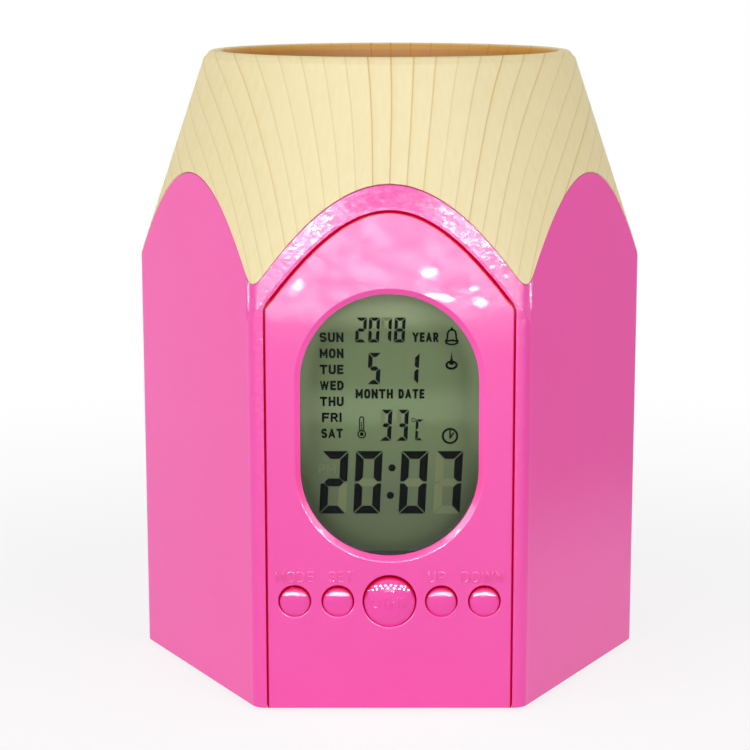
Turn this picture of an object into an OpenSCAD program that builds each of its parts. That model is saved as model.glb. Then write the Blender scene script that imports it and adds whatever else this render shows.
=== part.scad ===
// Pen holder desk clock in the shape of a sharpened hexagonal pencil.
// The origin is under the middle of the body, +Z is up and the clock faces -Y.

/* [Body] */
// Overall height, from the feet to the rim
total_h = 121; // [112:0.5:130]
// Width of the hexagonal body across its flat faces
flats_w = 86.6; // [84:0.2:92]
// Radius of the body's upright corners
corner_r = 3; // [1.5:0.5:4]
// Thickness of the outer walls
wall = 2.4; // [2:0.1:2.6]
// How far the feet stand out below the body
foot_drop = 0.6; // [0.4:0.1:1]

/* [Wooden cone] */
// Outer radius of the cone at the rim
rim_r = 35.9; // [35:0.1:37]
// Growth of the cone's radius for each millimetre downwards
cone_slope = 0.338; // [0.32:0.002:0.36]
// Radius of the mouth
mouth_r = 32.3; // [31:0.1:33]
// Rounding of the rim
rim_round = 1.4; // [0.8:0.1:1.6]

/* [Clock front] */
// Width of the clock's front panel
fascia_w = 45.2; // [44:0.1:45.4]
// Height of the top of the panel's arch
arch_top = 93.9; // [92:0.1:95]
// Seam between the panel and the body
seam = 0.35; // [0.25:0.05:0.5]
// Width of the display window
window_w = 32.8; // [30:0.1:34]
// Height of the display window
window_h = 49; // [46:0.5:50]
// Height of the middle of the display window
window_z = 54.4; // [54:0.1:56]
// Width of the bevel round the window
window_bevel = 1.2; // [0.8:0.1:1.4]

/* [Buttons] */
// Height of the row of buttons
button_z = 21.4; // [20:0.1:22]
// Radius of the four small button holes
small_hole_r = 3.05; // [2.8:0.05:3.4]
// Radius of the middle button's hole
large_hole_r = 5; // [4.6:0.1:5.2]
// Distance from the middle button to each inner button
inner_pitch = 9.6; // [9.4:0.1:10]
// Distance from the middle button to each outer button
outer_pitch = 17.6; // [17.4:0.1:17.8]
// Travel of a button
button_travel = 0.5; // [0.3:0.05:0.5]

/* [Pen cup] */
// Height of the cup's floor
cup_floor_z = 19; // [18:0.5:30]
// Thickness of the cup's wall
cup_wall = 1.8; // [1.4:0.1:2]

/* [Power] */
// Diameter of a battery cell
cell_d = 10.3; // [10:0.1:10.5]
// Length of a battery cell with its nub
cell_l = 44.5; // [43.5:0.1:44.5]
// Travel of the battery door before it lifts out
door_travel = 6; // [5:0.5:6]

/* [Hidden] */

pink = [0.96, 0.36, 0.70];
birch = [0.94, 0.88, 0.69];
cream = [0.93, 0.89, 0.78];
board_green = [0.10, 0.38, 0.20];
steel = [0.75, 0.76, 0.78];
black = [0.08, 0.08, 0.09];
white = [0.92, 0.92, 0.90];

// Body
body_z = foot_drop;
half_flats = flats_w / 2;
inner_flats = half_flats - wall;
face_half = half_flats * tan(30);
corner_steps = 6;
face_steps = 28;
fit_gap = 0.12;
$fn = 96;

// Wooden cone
cone_wall = 2.2;
throat_wall = 2;
throat_z = 97.6;
skirt_wall = 1.6;
skirt_z = 74;
scallop_peak = total_h - (half_flats - rim_r) / cone_slope;
edge_drop = 0.3;
trough_z = 80.4;
trough_soft = 1;

// Clock front, in planes along Y
front_y = -half_flats;
fascia_t = 2.2;
fascia_back = front_y + fascia_t;
lens_t = 1;
polariser_t = 0.2;
glass_t = 0.7;
guide_t = 1.2;
gasket_t = 2.8;
lcd_front = fascia_back + gasket_t;
glass_1_y = lcd_front + polariser_t;
glass_2_y = glass_1_y + glass_t;
reflector_y = glass_2_y + glass_t;
guide_y = reflector_y + polariser_t;
tray_floor_t = 0.8;
board_y = guide_y + guide_t + tray_floor_t;
board_t = 1.2;
board_back = board_y + board_t;
cover_front = board_back;
cover_back = -28.2;
cover_t = 1.6;
module_z = foot_drop + 3;
module_wall_t = 1.4;

// Arch of the clock front: a hyperbola that follows the scallop above it
arch_a = 24.9;
arch_k = 0.5;
arch_steps = 28;
bend_r = 3;
bend_steps = 5;
bend_s = arch_slope(fascia_w / 2 - bend_r / 5);
bend_n = sqrt(1 + bend_s * bend_s);
bend_x = fascia_w / 2 - bend_r * (1 - bend_s / bend_n);
bend_z = arch_z(bend_x) - bend_r / bend_n;

// Display
lcd_w = 34;
lcd_h = 50.4;
ledge = 2.5;
holder_rim = 1.7;
lens_margin = 1.6;
gasket_margin = 0.15;
gasket_w = 2;
strip_z = lcd_h / 2 - 1.3;
strip_t = 1.8;
strip_w = lcd_w - 2;
peg_at = [[-12, -1], [12, -1], [-12, 1], [12, 1]];
peg_r = 0.6;

// Buttons
cap_gap = 0.25;
small_crown = 0.6;
large_crown = 0.8;
cap_edge_drop = 0.3;
flange_t = 0.8;
flange_reach = 0.7;
flange_y = fascia_back + 0.1;
stem_r = 1.6;
switch_w = 4.5;
switch_h = 2.5;
plunger_r = 1.7;
plunger_gap = 0.06;
switch_front = board_y - switch_h;
plunger_front = switch_front - 0.8;
plunger_back = switch_front + 1.2;

// Screws
module_screw_at = [[-17.2, 11.6], [17.2, 11.6], [-9.4, 86], [9.4, 86]];
screw_r = 1.1;
screw_head_r = 2;
screw_play = 0.3;
module_screw_sunk = 3;
boss_r = 2.5;

// Pen cup
cup_r = mouth_r + cup_wall;
cup_front = cover_back + 0.6;
shelf_z = arch_top + 1.4;
socket_gap = 0.1;
cup_bottom = cup_floor_z - cup_wall;

// Base
plate_z = foot_drop + 0.6;
plate_t = 2.2;
plate_top = plate_z + plate_t;
plate_gap = 0.3;
foot_at = [22.5, 28.5];
foot_r = 4.5;
foot_recess = 0.7;
post_at = [[-15, -14], [15, -14], [-21, 23], [21, 23]];
post_r = 3;
base_screw_r = 41.3;
base_screw_sunk = 1.3;
base_boss_r = 3.5;
base_boss_h = 13;

// Battery tray and its door
tray_y = 4.5;
tray_in_x = 25.2;
tray_in_y = 11.2;
tray_wall = 1.6;
cell_pitch = 10.9;
cell_z = plate_top + cell_d / 2 - 0.25;
tray_in_top = cell_z + cell_d / 2 + 0.6;
door_z = plate_z;
door_t = 1.6;
door_half_x = 25.9;
door_half_y = 11.7;
door_y0 = tray_y - door_half_y;
door_y1 = tray_y + door_half_y;
tab_w = 1.4;
tab_t = 0.7;
tab_z = door_z + door_t - tab_t;
tab_l = 5;
tab_at = [-4, 8];
run_gap = 0.3;
slot_y1 = door_y1 + door_travel + run_gap;
contact_t = 0.5;
cell_play = 0.2;
nub_r = 1.9;
nub_l = 0.9;

// Springs and leads
spring_wire_r = 0.35;
spring_turns = 4;
spring_big_r = 3.6;
spring_small_r = 2.3;
spring_rings = 14;
spring_sides = 6;
lead_r = 0.65;
lead_sides = 8;
lead_steps = 4;
positive_route = [
  [-25.2, 9.95, 11.5], [-26.4, 9.95, 11.5], [-28.6, 9.95, 11.5], [-32, 6, 11.4],
  [-32.4, -5, 11], [-29.4, -15, 10], [-23.5, -22.5, 9], [-17, -26, 8.8],
  [-13, -28.6, 9.2], [-12.4, -30.6, 9.4], [-12.4, -32, 9.4], [-12.4, board_back, 9.4]
];
negative_route = [
  [-25.2, -0.95, 11.5], [-26.2, -0.95, 11.5], [-27.8, -0.95, 11.5], [-29.4, -4, 11.3],
  [-28, -12, 10.6], [-22, -19.5, 9.6], [-14.6, -24, 8.8], [-10.4, -27.6, 9],
  [-9.4, -30.2, 9.4], [-9.4, -31.8, 9.4], [-9.4, board_back, 9.4]
];

// Outline of a hexagon with rounded corners, two of them on the X axis
function hex_points(apothem, r) = [
  for (k = [0:5], j = [0:corner_steps])
    let (a = 60 * k - 30 + 60 * j / corner_steps, c = (apothem - r) / cos(30))
      [c * cos(60 * k) + r * cos(a), c * sin(60 * k) + r * sin(a)]
];

// Radius of the cone at a height, and the height where it meets a flat face
function cone_r(z) = rim_r + cone_slope * (total_h - z);
function scallop_z(u) = total_h - (sqrt(half_flats * half_flats + u * u) - rim_r) / cone_slope;

// Height of the body's edge, just below the cone's and rounded off at the corners
function edge_z(u) =
  let (z = scallop_z(u) - edge_drop, over = z - trough_z)
    (z + trough_z + sqrt(over * over + trough_soft * trough_soft)) / 2;

// Arch of the clock front, its slope, and the arch moved outwards by g
function arch_z(x) = arch_top - (sqrt(arch_a * arch_a + x * x) - arch_a) / arch_k;
function arch_slope(x) = x / (arch_k * sqrt(arch_a * arch_a + x * x));
function arch_point(x, g) =
  let (s = arch_slope(x), n = sqrt(1 + s * s)) [x + g * s / n, arch_z(x) + g / n];

// Outline of the clock front, moved outwards by g, down to the height z0
function bend_points(side, g) = [
  for (j = [0:bend_steps])
    let (a = atan(1 / bend_s) * j / bend_steps)
      [side * (fascia_w / 2 - bend_r + (bend_r + g) * cos(a)), bend_z + (bend_r + g) * sin(a)]
];
function fascia_points(g, z0) = concat(
  [[fascia_w / 2 + g, z0]],
  bend_points(1, g),
  [for (j = [1:arch_steps - 1]) arch_point(bend_x * (1 - 2 * j / arch_steps), g)],
  [for (j = [bend_steps:-1:0]) bend_points(-1, g)[j]],
  [[-fascia_w / 2 - g, z0]]
);

// A point of a smooth curve through four neighbours, at the fraction t
function smooth(p0, p1, p2, p3, t) = 0.5 * (
  2 * p1 + (p2 - p0) * t + (2 * p0 - 5 * p1 + 4 * p2 - p3) * t * t
  + (3 * p1 - p0 - 3 * p2 + p3) * t * t * t
);
function smooth_route(points, steps) = concat(
  [
    for (i = [0:len(points) - 2], k = [0:steps - 1])
      smooth(points[max(i - 1, 0)], points[i], points[i + 1],
             points[min(i + 2, len(points) - 1)], k / steps)
  ],
  [points[len(points) - 1]]
);
function unit(v) = v / norm(v);
function heading(path, i) = unit(path[min(i + 1, len(path) - 1)] - path[max(i - 1, 0)]);

// A round tube of radius r along a path of points
module tube(path, r, sides) {
  rings = len(path);
  points = [
    for (i = [0:rings - 1], j = [0:sides - 1])
      let (
        d = heading(path, i),
        side = unit(cross(d, abs(d[2]) > 0.9 ? [1, 0, 0] : [0, 0, 1])),
        up = cross(side, d),
        a = 360 * j / sides
      )
        path[i] + r * (cos(a) * side + sin(a) * up)
  ];
  bands = [
    for (i = [0:rings - 2], j = [0:sides - 1])
      let (a = i * sides + j, b = i * sides + (j + 1) % sides)
        each [[a, b, a + sides], [b, b + sides, a + sides]]
  ];
  start_cap = [for (j = [1:sides - 2]) [0, j + 1, j]];
  last = (rings - 1) * sides;
  end_cap = [for (j = [1:sides - 2]) [last, last + j, last + j + 1]];
  polyhedron(points, concat(bands, start_cap, end_cap));
}

// A flat outline drawn in X and Z, between two planes along Y
module slab(y0, y1) {
  translate([0, y1, 0]) rotate([90, 0, 0]) linear_extrude(y1 - y0) children();
}

// A round bar along Y at x, z, between two planes
module bar(x, z, r, y0, y1) {
  translate([x, y1, z]) rotate([90, 0, 0]) cylinder(r = r, h = y1 - y0);
}

// A box given by its lowest and highest corner
module block(low, high) {
  translate(low) cube(high - low);
}

module hexagon(apothem, r, z0, z1) {
  translate([0, 0, z0]) linear_extrude(z1 - z0) polygon(hex_points(apothem, r));
}

module stadium(w, h) {
  translate([0, (h - w) / 2]) circle(r = w / 2);
  translate([0, (w - h) / 2]) circle(r = w / 2);
  square([w, h - w], center = true);
}

// The space above the scalloped edge on all six faces, raised by g; the points of the
// edge lie closer together towards the corners
module above_scallop(g) {
  depth = 12;
  for (k = [0:5])
    rotate([0, 0, 60 * k])
      slab(front_y - 1, front_y + depth)
        polygon(concat(
          [[-face_half, total_h + 1]],
          [
            for (j = [0:face_steps])
              let (u = face_half * sin(180 * j / face_steps - 90)) [u, edge_z(u) + g]
          ],
          [[face_half, total_h + 1]]
        ));
}

// Copies at the four corners of the body that hold a base screw
module at_base_screws() {
  for (a = [0, 60, 120, 180]) rotate([0, 0, a]) translate([base_screw_r, 0, 0]) children();
}

module at_feet() {
  for (sx = [-1, 1], sy = [-1, 1]) translate([sx * foot_at[0], sy * foot_at[1], 0]) children();
}

module at_cells() {
  for (side = [-1, 1])
    translate([0, tray_y + side * cell_pitch / 2, cell_z])
      rotate([0, 0, side < 0 ? 0 : 180])
        children();
}

// A pan-head screw pointing along +Z, with a cross recess in its head
module screw(r, head_r, length) {
  head_h = 1.2;
  slot_w = 0.6;
  slot_depth = 0.7;
  difference() {
    union() {
      cylinder(r = r, h = length);
      translate([0, 0, -head_h]) cylinder(r = head_r, h = head_h);
    }
    for (a = [0, 90])
      rotate([0, 0, a])
        translate([0, 0, -head_h])
          cube([head_r * 1.3, slot_w, 2 * slot_depth], center = true);
  }
}

// Outer body

module body_shell() {
  rib_t = 2;
  color(pink) difference() {
    union() {
      difference() {
        hexagon(half_flats, corner_r, body_z, scallop_peak + 1);
        hexagon(inner_flats, 1, body_z - 1, total_h);
        above_scallop(0);
      }
      at_base_screws() {
        translate([0, 0, plate_top]) cylinder(r = base_boss_r, h = base_boss_h);
        block([base_boss_r - 0.6, -rib_t / 2, plate_top],
              [7, rib_t / 2, plate_top + base_boss_h]);
      }
    }
    slab(front_y - 1, front_y + wall + 1)
      polygon(fascia_points(seam, body_z - 1));
    at_base_screws() translate([0, 0, plate_top - 1]) cylinder(r = screw_r, h = 10);
  }
}

module collar_profile() {
  hollow_top = total_h - 5;
  r0 = rim_round;
  top_out = total_h - r0;
  polygon(concat(
    [[mouth_r, throat_z]],
    [for (a = [180:-15:90]) [mouth_r + r0 + r0 * cos(a), top_out + r0 * sin(a)]],
    [for (a = [90:-15:20]) [rim_r - r0 + r0 * cos(a), top_out + r0 * sin(a)]],
    [
      [cone_r(top_out), top_out],
      [cone_r(skirt_z), skirt_z],
      [cone_r(skirt_z) - cone_wall, skirt_z],
      [cone_r(hollow_top) - cone_wall, hollow_top],
      [mouth_r + throat_wall, hollow_top],
      [mouth_r + throat_wall, throat_z]
    ]
  ));
}

module wood_collar() {
  lap = inner_flats - fit_gap;
  color(birch) difference() {
    union() {
      difference() {
        intersection() {
          rotate_extrude($fn = 180) collar_profile();
          hexagon(half_flats, corner_r, skirt_z - 1, total_h + 1);
        }
        difference() {
          hexagon(half_flats + 2, corner_r, skirt_z - 2, scallop_peak + 2);
          hexagon(lap, 1, skirt_z - 3, scallop_peak + 3);
          above_scallop(fit_gap);
        }
      }
      intersection() {
        difference() {
          hexagon(lap, 1, skirt_z, scallop_peak + 7);
          hexagon(lap - skirt_wall, 1, skirt_z - 1, scallop_peak + 8);
        }
        translate([0, 0, skirt_z - 1])
          cylinder(r1 = cone_r(skirt_z - 1) - 0.4, r2 = cone_r(total_h) - 0.4,
                   h = total_h - skirt_z + 1);
      }
    }
    slab(front_y - 1, cup_front) polygon(fascia_points(1, skirt_z - 2));
  }
}

// D-shaped plan of the cup: a circle with a flat towards the clock
module cup_plan(r, front) {
  intersection() {
    circle(r = r);
    translate([-r, front]) square([2 * r, r - front]);
  }
}

// Cup with a socket at its top for the collar's throat and shallow sockets for the posts
module pen_cup() {
  socket_r = mouth_r + throat_wall + socket_gap;
  socket_wall = 1.4;
  socket_h = 5.9;
  post_socket_h = 0.6;
  color(cream) difference() {
    union() {
      translate([0, 0, cup_bottom])
        linear_extrude(shelf_z - cup_bottom) cup_plan(cup_r, cup_front);
      translate([0, 0, shelf_z - cup_wall])
        cylinder(r = socket_r + socket_wall, h = cup_wall + socket_h);
    }
    translate([0, 0, cup_floor_z])
      linear_extrude(shelf_z - cup_floor_z + 1) cup_plan(mouth_r, cup_front + cup_wall);
    translate([0, 0, shelf_z]) cylinder(r = mouth_r, h = socket_h + 1);
    translate([0, 0, throat_z - socket_gap]) cylinder(r = socket_r, h = socket_h);
    for (p = post_at)
      translate([p[0], p[1], cup_bottom - 1])
        cylinder(r = post_r + 2 * socket_gap, h = 1 + post_socket_h);
  }
}

// Base with its battery tray

// The solid base: the plate, the tray over the cells, the guide round the door, the posts
module base_body() {
  tray_x = tray_in_x + tray_wall;
  tray_y0 = tray_y - tray_in_y - tray_wall;
  tray_y1 = tray_y + tray_in_y + tray_wall;
  tray_roof_t = 1.4;
  guide_wall = 1.6;
  guide_end_t = 1.4;
  guide_h = 1;
  post_entry = 0.5;
  hexagon(inner_flats - plate_gap, 1, plate_z, plate_top);
  block([-tray_x, tray_y0, plate_z], [tray_x, tray_y1, tray_in_top + tray_roof_t]);
  block([-tray_x - guide_wall, tray_y0, plate_z],
        [tray_x + guide_wall, slot_y1 + guide_end_t, plate_top + guide_h]);
  for (p = post_at)
    translate([p[0], p[1], plate_z]) cylinder(r = post_r, h = cup_bottom - plate_z + post_entry);
}

// The slot that the door slides in, with the notches where its tabs lift out
module door_slot() {
  slot_x = door_half_x + run_gap;
  tab_x = slot_x + tab_w;
  slot_top = door_z + door_t + run_gap;
  tab_y1 = tab_at[1] + tab_l + door_travel + run_gap;
  block([-slot_x, door_y0 - run_gap, plate_z - 1], [slot_x, slot_y1, slot_top]);
  block([-tab_x, tab_at[0] - run_gap, tab_z - run_gap], [tab_x, tab_y1, slot_top]);
  for (y = tab_at)
    block([-tab_x, y + door_travel - run_gap, plate_z - 1],
          [tab_x, y + door_travel + tab_l + run_gap, tab_z]);
}

module base_plate() {
  lead_hole = 1.8;
  color(pink) difference() {
    base_body();
    block([-tray_in_x, tray_y - tray_in_y, plate_z - 1],
          [tray_in_x, tray_y + tray_in_y, tray_in_top]);
    door_slot();
    for (side = [-1, 1])
      translate([-tray_in_x - tray_wall, tray_y + side * cell_pitch / 2, positive_route[0][2]])
        cube([2 * tray_wall + 2, lead_hole, lead_hole], center = true);
    at_base_screws() {
      translate([0, 0, plate_z - 1]) cylinder(r = screw_r + screw_play, h = plate_t + 2);
      translate([0, 0, plate_z - 1])
        cylinder(r = screw_head_r + screw_play, h = 1 + base_screw_sunk);
    }
    at_feet() translate([0, 0, plate_z - 1]) cylinder(r = foot_r + 0.15, h = 1 + foot_recess);
  }
}

module base_screws() {
  base_screw_l = 8;
  color(steel)
    at_base_screws()
      translate([0, 0, plate_z + base_screw_sunk]) screw(screw_r, screw_head_r, base_screw_l);
}

module rubber_feet() {
  foot_h = plate_z + foot_recess;
  edge = 0.4;
  color(black) at_feet() {
    cylinder(r1 = foot_r - edge, r2 = foot_r, h = edge);
    translate([0, 0, edge]) cylinder(r = foot_r, h = foot_h - edge);
  }
}

// Sliding door with tabs at its sides and raised ribs for the thumb
module battery_door() {
  ribs = 5;
  rib_half_x = 6;
  rib_t = 0.8;
  rib_h = 0.3;
  rib_y0 = door_y0 + 3;
  color(pink) {
    block([-door_half_x, door_y0, door_z], [door_half_x, door_y1, door_z + door_t]);
    for (y = tab_at)
      block([-door_half_x - tab_w, y, tab_z], [door_half_x + tab_w, y + tab_l, door_z + door_t]);
    for (i = [0:ribs - 1])
      translate([0, rib_y0 + 2 * rib_t * i, door_z])
        block([-rib_half_x, 0, -rib_h], [rib_half_x, rib_t, 0.1]);
  }
}

module battery_cells() {
  end = tray_in_x - contact_t - cell_play / 2;
  color([0.25, 0.30, 0.36]) at_cells() rotate([0, 90, 0]) {
    translate([0, 0, end - cell_l]) cylinder(r = cell_d / 2, h = cell_l - nub_l);
    translate([0, 0, end - nub_l - 0.1]) cylinder(r = nub_r, h = nub_l + 0.1);
  }
}

// Flat contacts for the cells' nubs
module plate_contacts() {
  half_y = 3.6;
  half_z = 4;
  x0 = tray_in_x - contact_t;
  color(steel) {
    at_cells() block([x0, -half_y, -half_z], [tray_in_x, half_y, half_z]);
    block([x0, tray_y - 2, cell_z - half_z], [tray_in_x, tray_y + 1, cell_z - 1]);
  }
}

// Tapered coil springs that press on the flat ends of the cells
module spring_contacts() {
  spring_l = 2 * tray_in_x - 2 * contact_t - cell_l - cell_play;
  steps = spring_turns * spring_rings;
  x0 = -tray_in_x + contact_t;
  run = spring_l - 2 * spring_wire_r;
  plate_half = 4.4;
  path = [
    for (i = [0:steps])
      let (
        f = i / steps,
        r = spring_big_r + (spring_small_r - spring_big_r) * f,
        a = 360 * spring_turns * f
      )
        [x0 + spring_wire_r + run * f, r * cos(a), r * sin(a)]
  ];
  color(steel) at_cells() {
    tube(path, spring_wire_r, spring_sides);
    block([-tray_in_x, -plate_half, -plate_half], [x0, plate_half, plate_half]);
  }
}

module positive_lead() {
  color([0.75, 0.08, 0.08])
    tube(smooth_route(positive_route, lead_steps), lead_r, lead_sides);
}

module negative_lead() {
  color(black) tube(smooth_route(negative_route, lead_steps), lead_r, lead_sides);
}

// Clock front

// Window opening with a bevelled edge
module window_cut() {
  hw = window_w / 2;
  straight = (window_h - window_w) / 2;
  bevel_t = fascia_t - lens_t - 0.2;
  slab(front_y - 1, fascia_back + 1) translate([0, window_z]) stadium(window_w, window_h);
  for (side = [-1, 1])
    translate([0, front_y, window_z + side * straight])
      rotate([-90, 0, 0])
        cylinder(r1 = hw + window_bevel, r2 = hw, h = bevel_t);
  translate([0, 0, window_z - straight])
    linear_extrude(2 * straight)
      polygon([
        [-hw - window_bevel, front_y - 0.01], [hw + window_bevel, front_y - 0.01],
        [hw, front_y + bevel_t], [-hw, front_y + bevel_t]
      ]);
}

// Wall behind the edge of the panel, between two planes along Y
module module_wall(y0, y1, inset) {
  slab(y0, y1) difference() {
    polygon(fascia_points(-inset, module_z));
    polygon(fascia_points(-inset - module_wall_t, module_z + module_wall_t));
  }
}

// Hooks that hold the panel behind the edges of the body's opening
module hooks() {
  hook_y = front_y + wall + 0.2;
  hook_t = 1.2;
  hook_half_h = 2.5;
  hook_reach = 0.8;
  for (z = [12, 44, 70], side = [0, 1])
    mirror([side, 0, 0])
      block([fascia_w / 2 - 1.5, hook_y, z - hook_half_h],
            [fascia_w / 2 + hook_reach, hook_y + hook_t, z + hook_half_h]);
}

module lens_outline(play) {
  margin = 2 * lens_margin + play;
  translate([0, window_z]) stadium(window_w + margin, window_h + margin);
}

module clock_fascia() {
  color(pink) difference() {
    union() {
      slab(front_y, fascia_back) polygon(fascia_points(0, body_z));
      module_wall(fascia_back - 0.1, board_back, 0.5);
      for (p = module_screw_at) bar(p[0], p[1], boss_r, fascia_back - 0.1, board_y);
      hooks();
    }
    window_cut();
    slab(fascia_back - lens_t, fascia_back + 0.01) lens_outline(0.2);
    for (p = module_screw_at) bar(p[0], p[1], screw_r, fascia_back + 0.4, board_y + 1);
    for (x = [-outer_pitch, -inner_pitch, inner_pitch, outer_pitch])
      bar(x, button_z, small_hole_r, front_y - 1, fascia_back + 1);
    bar(0, button_z, large_hole_r, front_y - 1, fascia_back + 1);
  }
}

module display_window() {
  color([0.80, 0.88, 0.90, 0.35])
    slab(fascia_back - lens_t, fascia_back) lens_outline(0);
}

// A rectangular layer of the display, with a margin at its lower and upper ends
module layer(y0, t, w, margin) {
  half_h = lcd_h / 2 - margin;
  block([-w / 2, y0, window_z - half_h], [w / 2, y0 + t, window_z + half_h]);
}

// Foam frame that keeps the display away from the window
module lcd_gasket() {
  color(black) slab(fascia_back, lcd_front) translate([0, window_z]) difference() {
    stadium(window_w + 2 * gasket_w, window_h + 2 * gasket_w);
    stadium(window_w + 2 * gasket_margin, window_h + 2 * gasket_margin);
  }
}

module front_polariser() {
  edge = 0.3;
  color([0.45, 0.52, 0.42]) layer(lcd_front, polariser_t, lcd_w - 2 * edge, edge);
}

module lcd_front_glass() {
  color([0.55, 0.62, 0.52]) layer(glass_1_y, glass_t, lcd_w, 0);
}

module lcd_rear_glass() {
  color([0.50, 0.58, 0.48]) layer(glass_2_y, glass_t, lcd_w, ledge);
}

module reflector_film() {
  color(white) layer(reflector_y, polariser_t, lcd_w - 1, ledge + 0.3);
}

module light_guide() {
  color([0.85, 0.92, 0.95]) layer(guide_y, guide_t, lcd_w - 3, ledge + 0.5);
}

// A lamp at each side of the light guide
module backlight_leds() {
  led_size = [1.1, guide_t - 0.2, 3];
  color([0.95, 0.93, 0.70])
    for (side = [-1, 1])
      translate([side * (lcd_w / 2 - 0.8), guide_y + guide_t / 2, window_z])
        cube(led_size, center = true);
}

// Round pegs at the four corners of the display's tray
module pegs(r, y0, y1) {
  for (p = peg_at) bar(p[0], window_z + p[1] * (lcd_h + holder_rim) / 2, r, y0, y1);
}

// Tray that holds the layers of the display, with slots for the two strips
module lcd_holder() {
  play = 0.2;
  half_w = (lcd_w + play) / 2;
  half_h = (lcd_h + play) / 2;
  wall_inset = 2.1;
  color(white) difference() {
    union() {
      slab(lcd_front, board_y - 0.05) intersection() {
        translate([0, window_z])
          square([lcd_w + 2 * holder_rim, lcd_h + 2 * holder_rim], center = true);
        polygon(fascia_points(-wall_inset, 0));
      }
      pegs(peg_r, board_y - 0.2, board_back + 0.6);
    }
    block([-half_w, lcd_front - 1, window_z - half_h],
          [half_w, guide_y + guide_t, window_z + half_h]);
    for (side = [-1, 1])
      translate([0, board_y, window_z + side * strip_z])
        cube([strip_w + 2 * play, 4, strip_t + 2 * play], center = true);
  }
}

module zebra_strips() {
  color([0.35, 0.35, 0.38])
    for (side = [-1, 1])
      translate([0, (glass_2_y + board_y) / 2, window_z + side * strip_z])
        cube([strip_w, board_y - glass_2_y, strip_t], center = true);
}

module main_board() {
  wall_inset = 2.2;
  board_w = 44;
  board_z0 = 6;
  board_z1 = 90;
  color(board_green) difference() {
    slab(board_y, board_back) intersection() {
      polygon(fascia_points(-wall_inset, 0));
      translate([-board_w / 2, board_z0]) square([board_w, board_z1 - board_z0]);
    }
    for (p = module_screw_at) bar(p[0], p[1], screw_r + 0.2, board_y - 1, board_back + 1);
    pegs(peg_r + 0.1, board_y - 1, board_back + 1);
  }
}

// Drop of resin over the chip: the part of a ball that stands above the board
module clock_chip() {
  blob_r = 6.5;
  blob_h = 1.8;
  blob_at = [3, 50];
  ball_r = (blob_r * blob_r + blob_h * blob_h) / (2 * blob_h);
  color(black)
    translate([blob_at[0], board_back, blob_at[1]]) intersection() {
      translate([0, blob_h - ball_r, 0]) sphere(r = ball_r, $fn = 240);
      block([-blob_r - 1, 0, -blob_r - 1], [blob_r + 1, blob_h + 1, blob_r + 1]);
    }
}

module quartz_crystal() {
  can_r = 1;
  can_h = 6;
  pin_r = 0.2;
  pin_l = 2.5;
  color(steel)
    translate([-12, board_back + can_r + 0.05, 52]) {
      cylinder(r = can_r, h = can_h);
      for (x = [-0.4, 0.4]) translate([x, 0, -pin_l]) cylinder(r = pin_r, h = pin_l + 0.5);
    }
}

// Glazed bead on two wires that turn back into the board
module thermistor() {
  bead_r = 1.3;
  bead_z = 9.5;
  wire_r = 0.25;
  wire_l = 5;
  lift = 1.6;
  color([0.20, 0.45, 0.70]) {
    translate([0, board_back + lift, bead_z]) sphere(r = bead_r);
    for (x = [-0.6, 0.6]) {
      translate([x, board_back + lift, bead_z]) cylinder(r = wire_r, h = wire_l);
      bar(x, bead_z + wire_l - 0.2, wire_r, board_back, board_back + lift + 0.2);
    }
  }
}

module alarm_buzzer() {
  buzzer_at = [-6, 70];
  buzzer_r = 6;
  buzzer_h = 3.2;
  port_r = 1;
  color(black) difference() {
    bar(buzzer_at[0], buzzer_at[1], buzzer_r, board_back, board_back + buzzer_h);
    bar(buzzer_at[0], buzzer_at[1], port_r, board_back + 1, board_back + buzzer_h + 1);
  }
}

// A column of equal parts on the back of the board
module part_column(x, z, size, pitch, count) {
  for (i = [0:count - 1]) translate([x, board_back, z + pitch * i]) cube(size);
}

module board_parts() {
  color([0.65, 0.55, 0.40]) {
    part_column(-16, 24, [3, 0.8, 1.6], 4, 5);
    part_column(13.5, 31, [3.2, 1.1, 2], 5, 4);
  }
}

// Buttons, each with its push switch on the board

module switch_bodies() {
  half = switch_w / 2;
  hole_back = plunger_back + button_travel + 0.2;
  color(black)
    for (x = [-outer_pitch, -inner_pitch, 0, inner_pitch, outer_pitch]) difference() {
      block([x - half, switch_front, button_z - half], [x + half, board_y, button_z + half]);
      bar(x, button_z, plunger_r + plunger_gap, switch_front - 1, hole_back);
    }
}

module plunger(x) {
  color(white) bar(x, button_z, plunger_r, plunger_front, plunger_back);
}

// Domed cap, a flange that keeps it behind the panel, and a stem that meets the switch
module button(x, hole_r, crown) {
  r = hole_r - cap_gap;
  ball_r = (r * r + crown * crown) / (2 * crown);
  edge_y = front_y + cap_edge_drop;
  flange_half_w = 0.75 * r;
  flange_half_h = hole_r + flange_reach;
  color(pink) {
    intersection() {
      bar(x, button_z, r, edge_y - crown - 1, flange_y + 0.2);
      translate([x, edge_y - crown + ball_r, button_z]) sphere(r = ball_r, $fn = 180);
    }
    block([x - flange_half_w, flange_y, button_z - flange_half_h],
          [x + flange_half_w, flange_y + flange_t, button_z + flange_half_h]);
    bar(x, button_z, stem_r, flange_y + flange_t - 0.1, plunger_front);
  }
}

module mode_button() { button(-outer_pitch, small_hole_r, small_crown); }
module set_button() { button(-inner_pitch, small_hole_r, small_crown); }
module light_button() { button(0, large_hole_r, large_crown); }
module up_button() { button(inner_pitch, small_hole_r, small_crown); }
module down_button() { button(outer_pitch, small_hole_r, small_crown); }

module mode_plunger() { plunger(-outer_pitch); }
module set_plunger() { plunger(-inner_pitch); }
module light_plunger() { plunger(0); }
module up_plunger() { plunger(inner_pitch); }
module down_plunger() { plunger(outer_pitch); }

// Rear cover of the clock module

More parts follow.
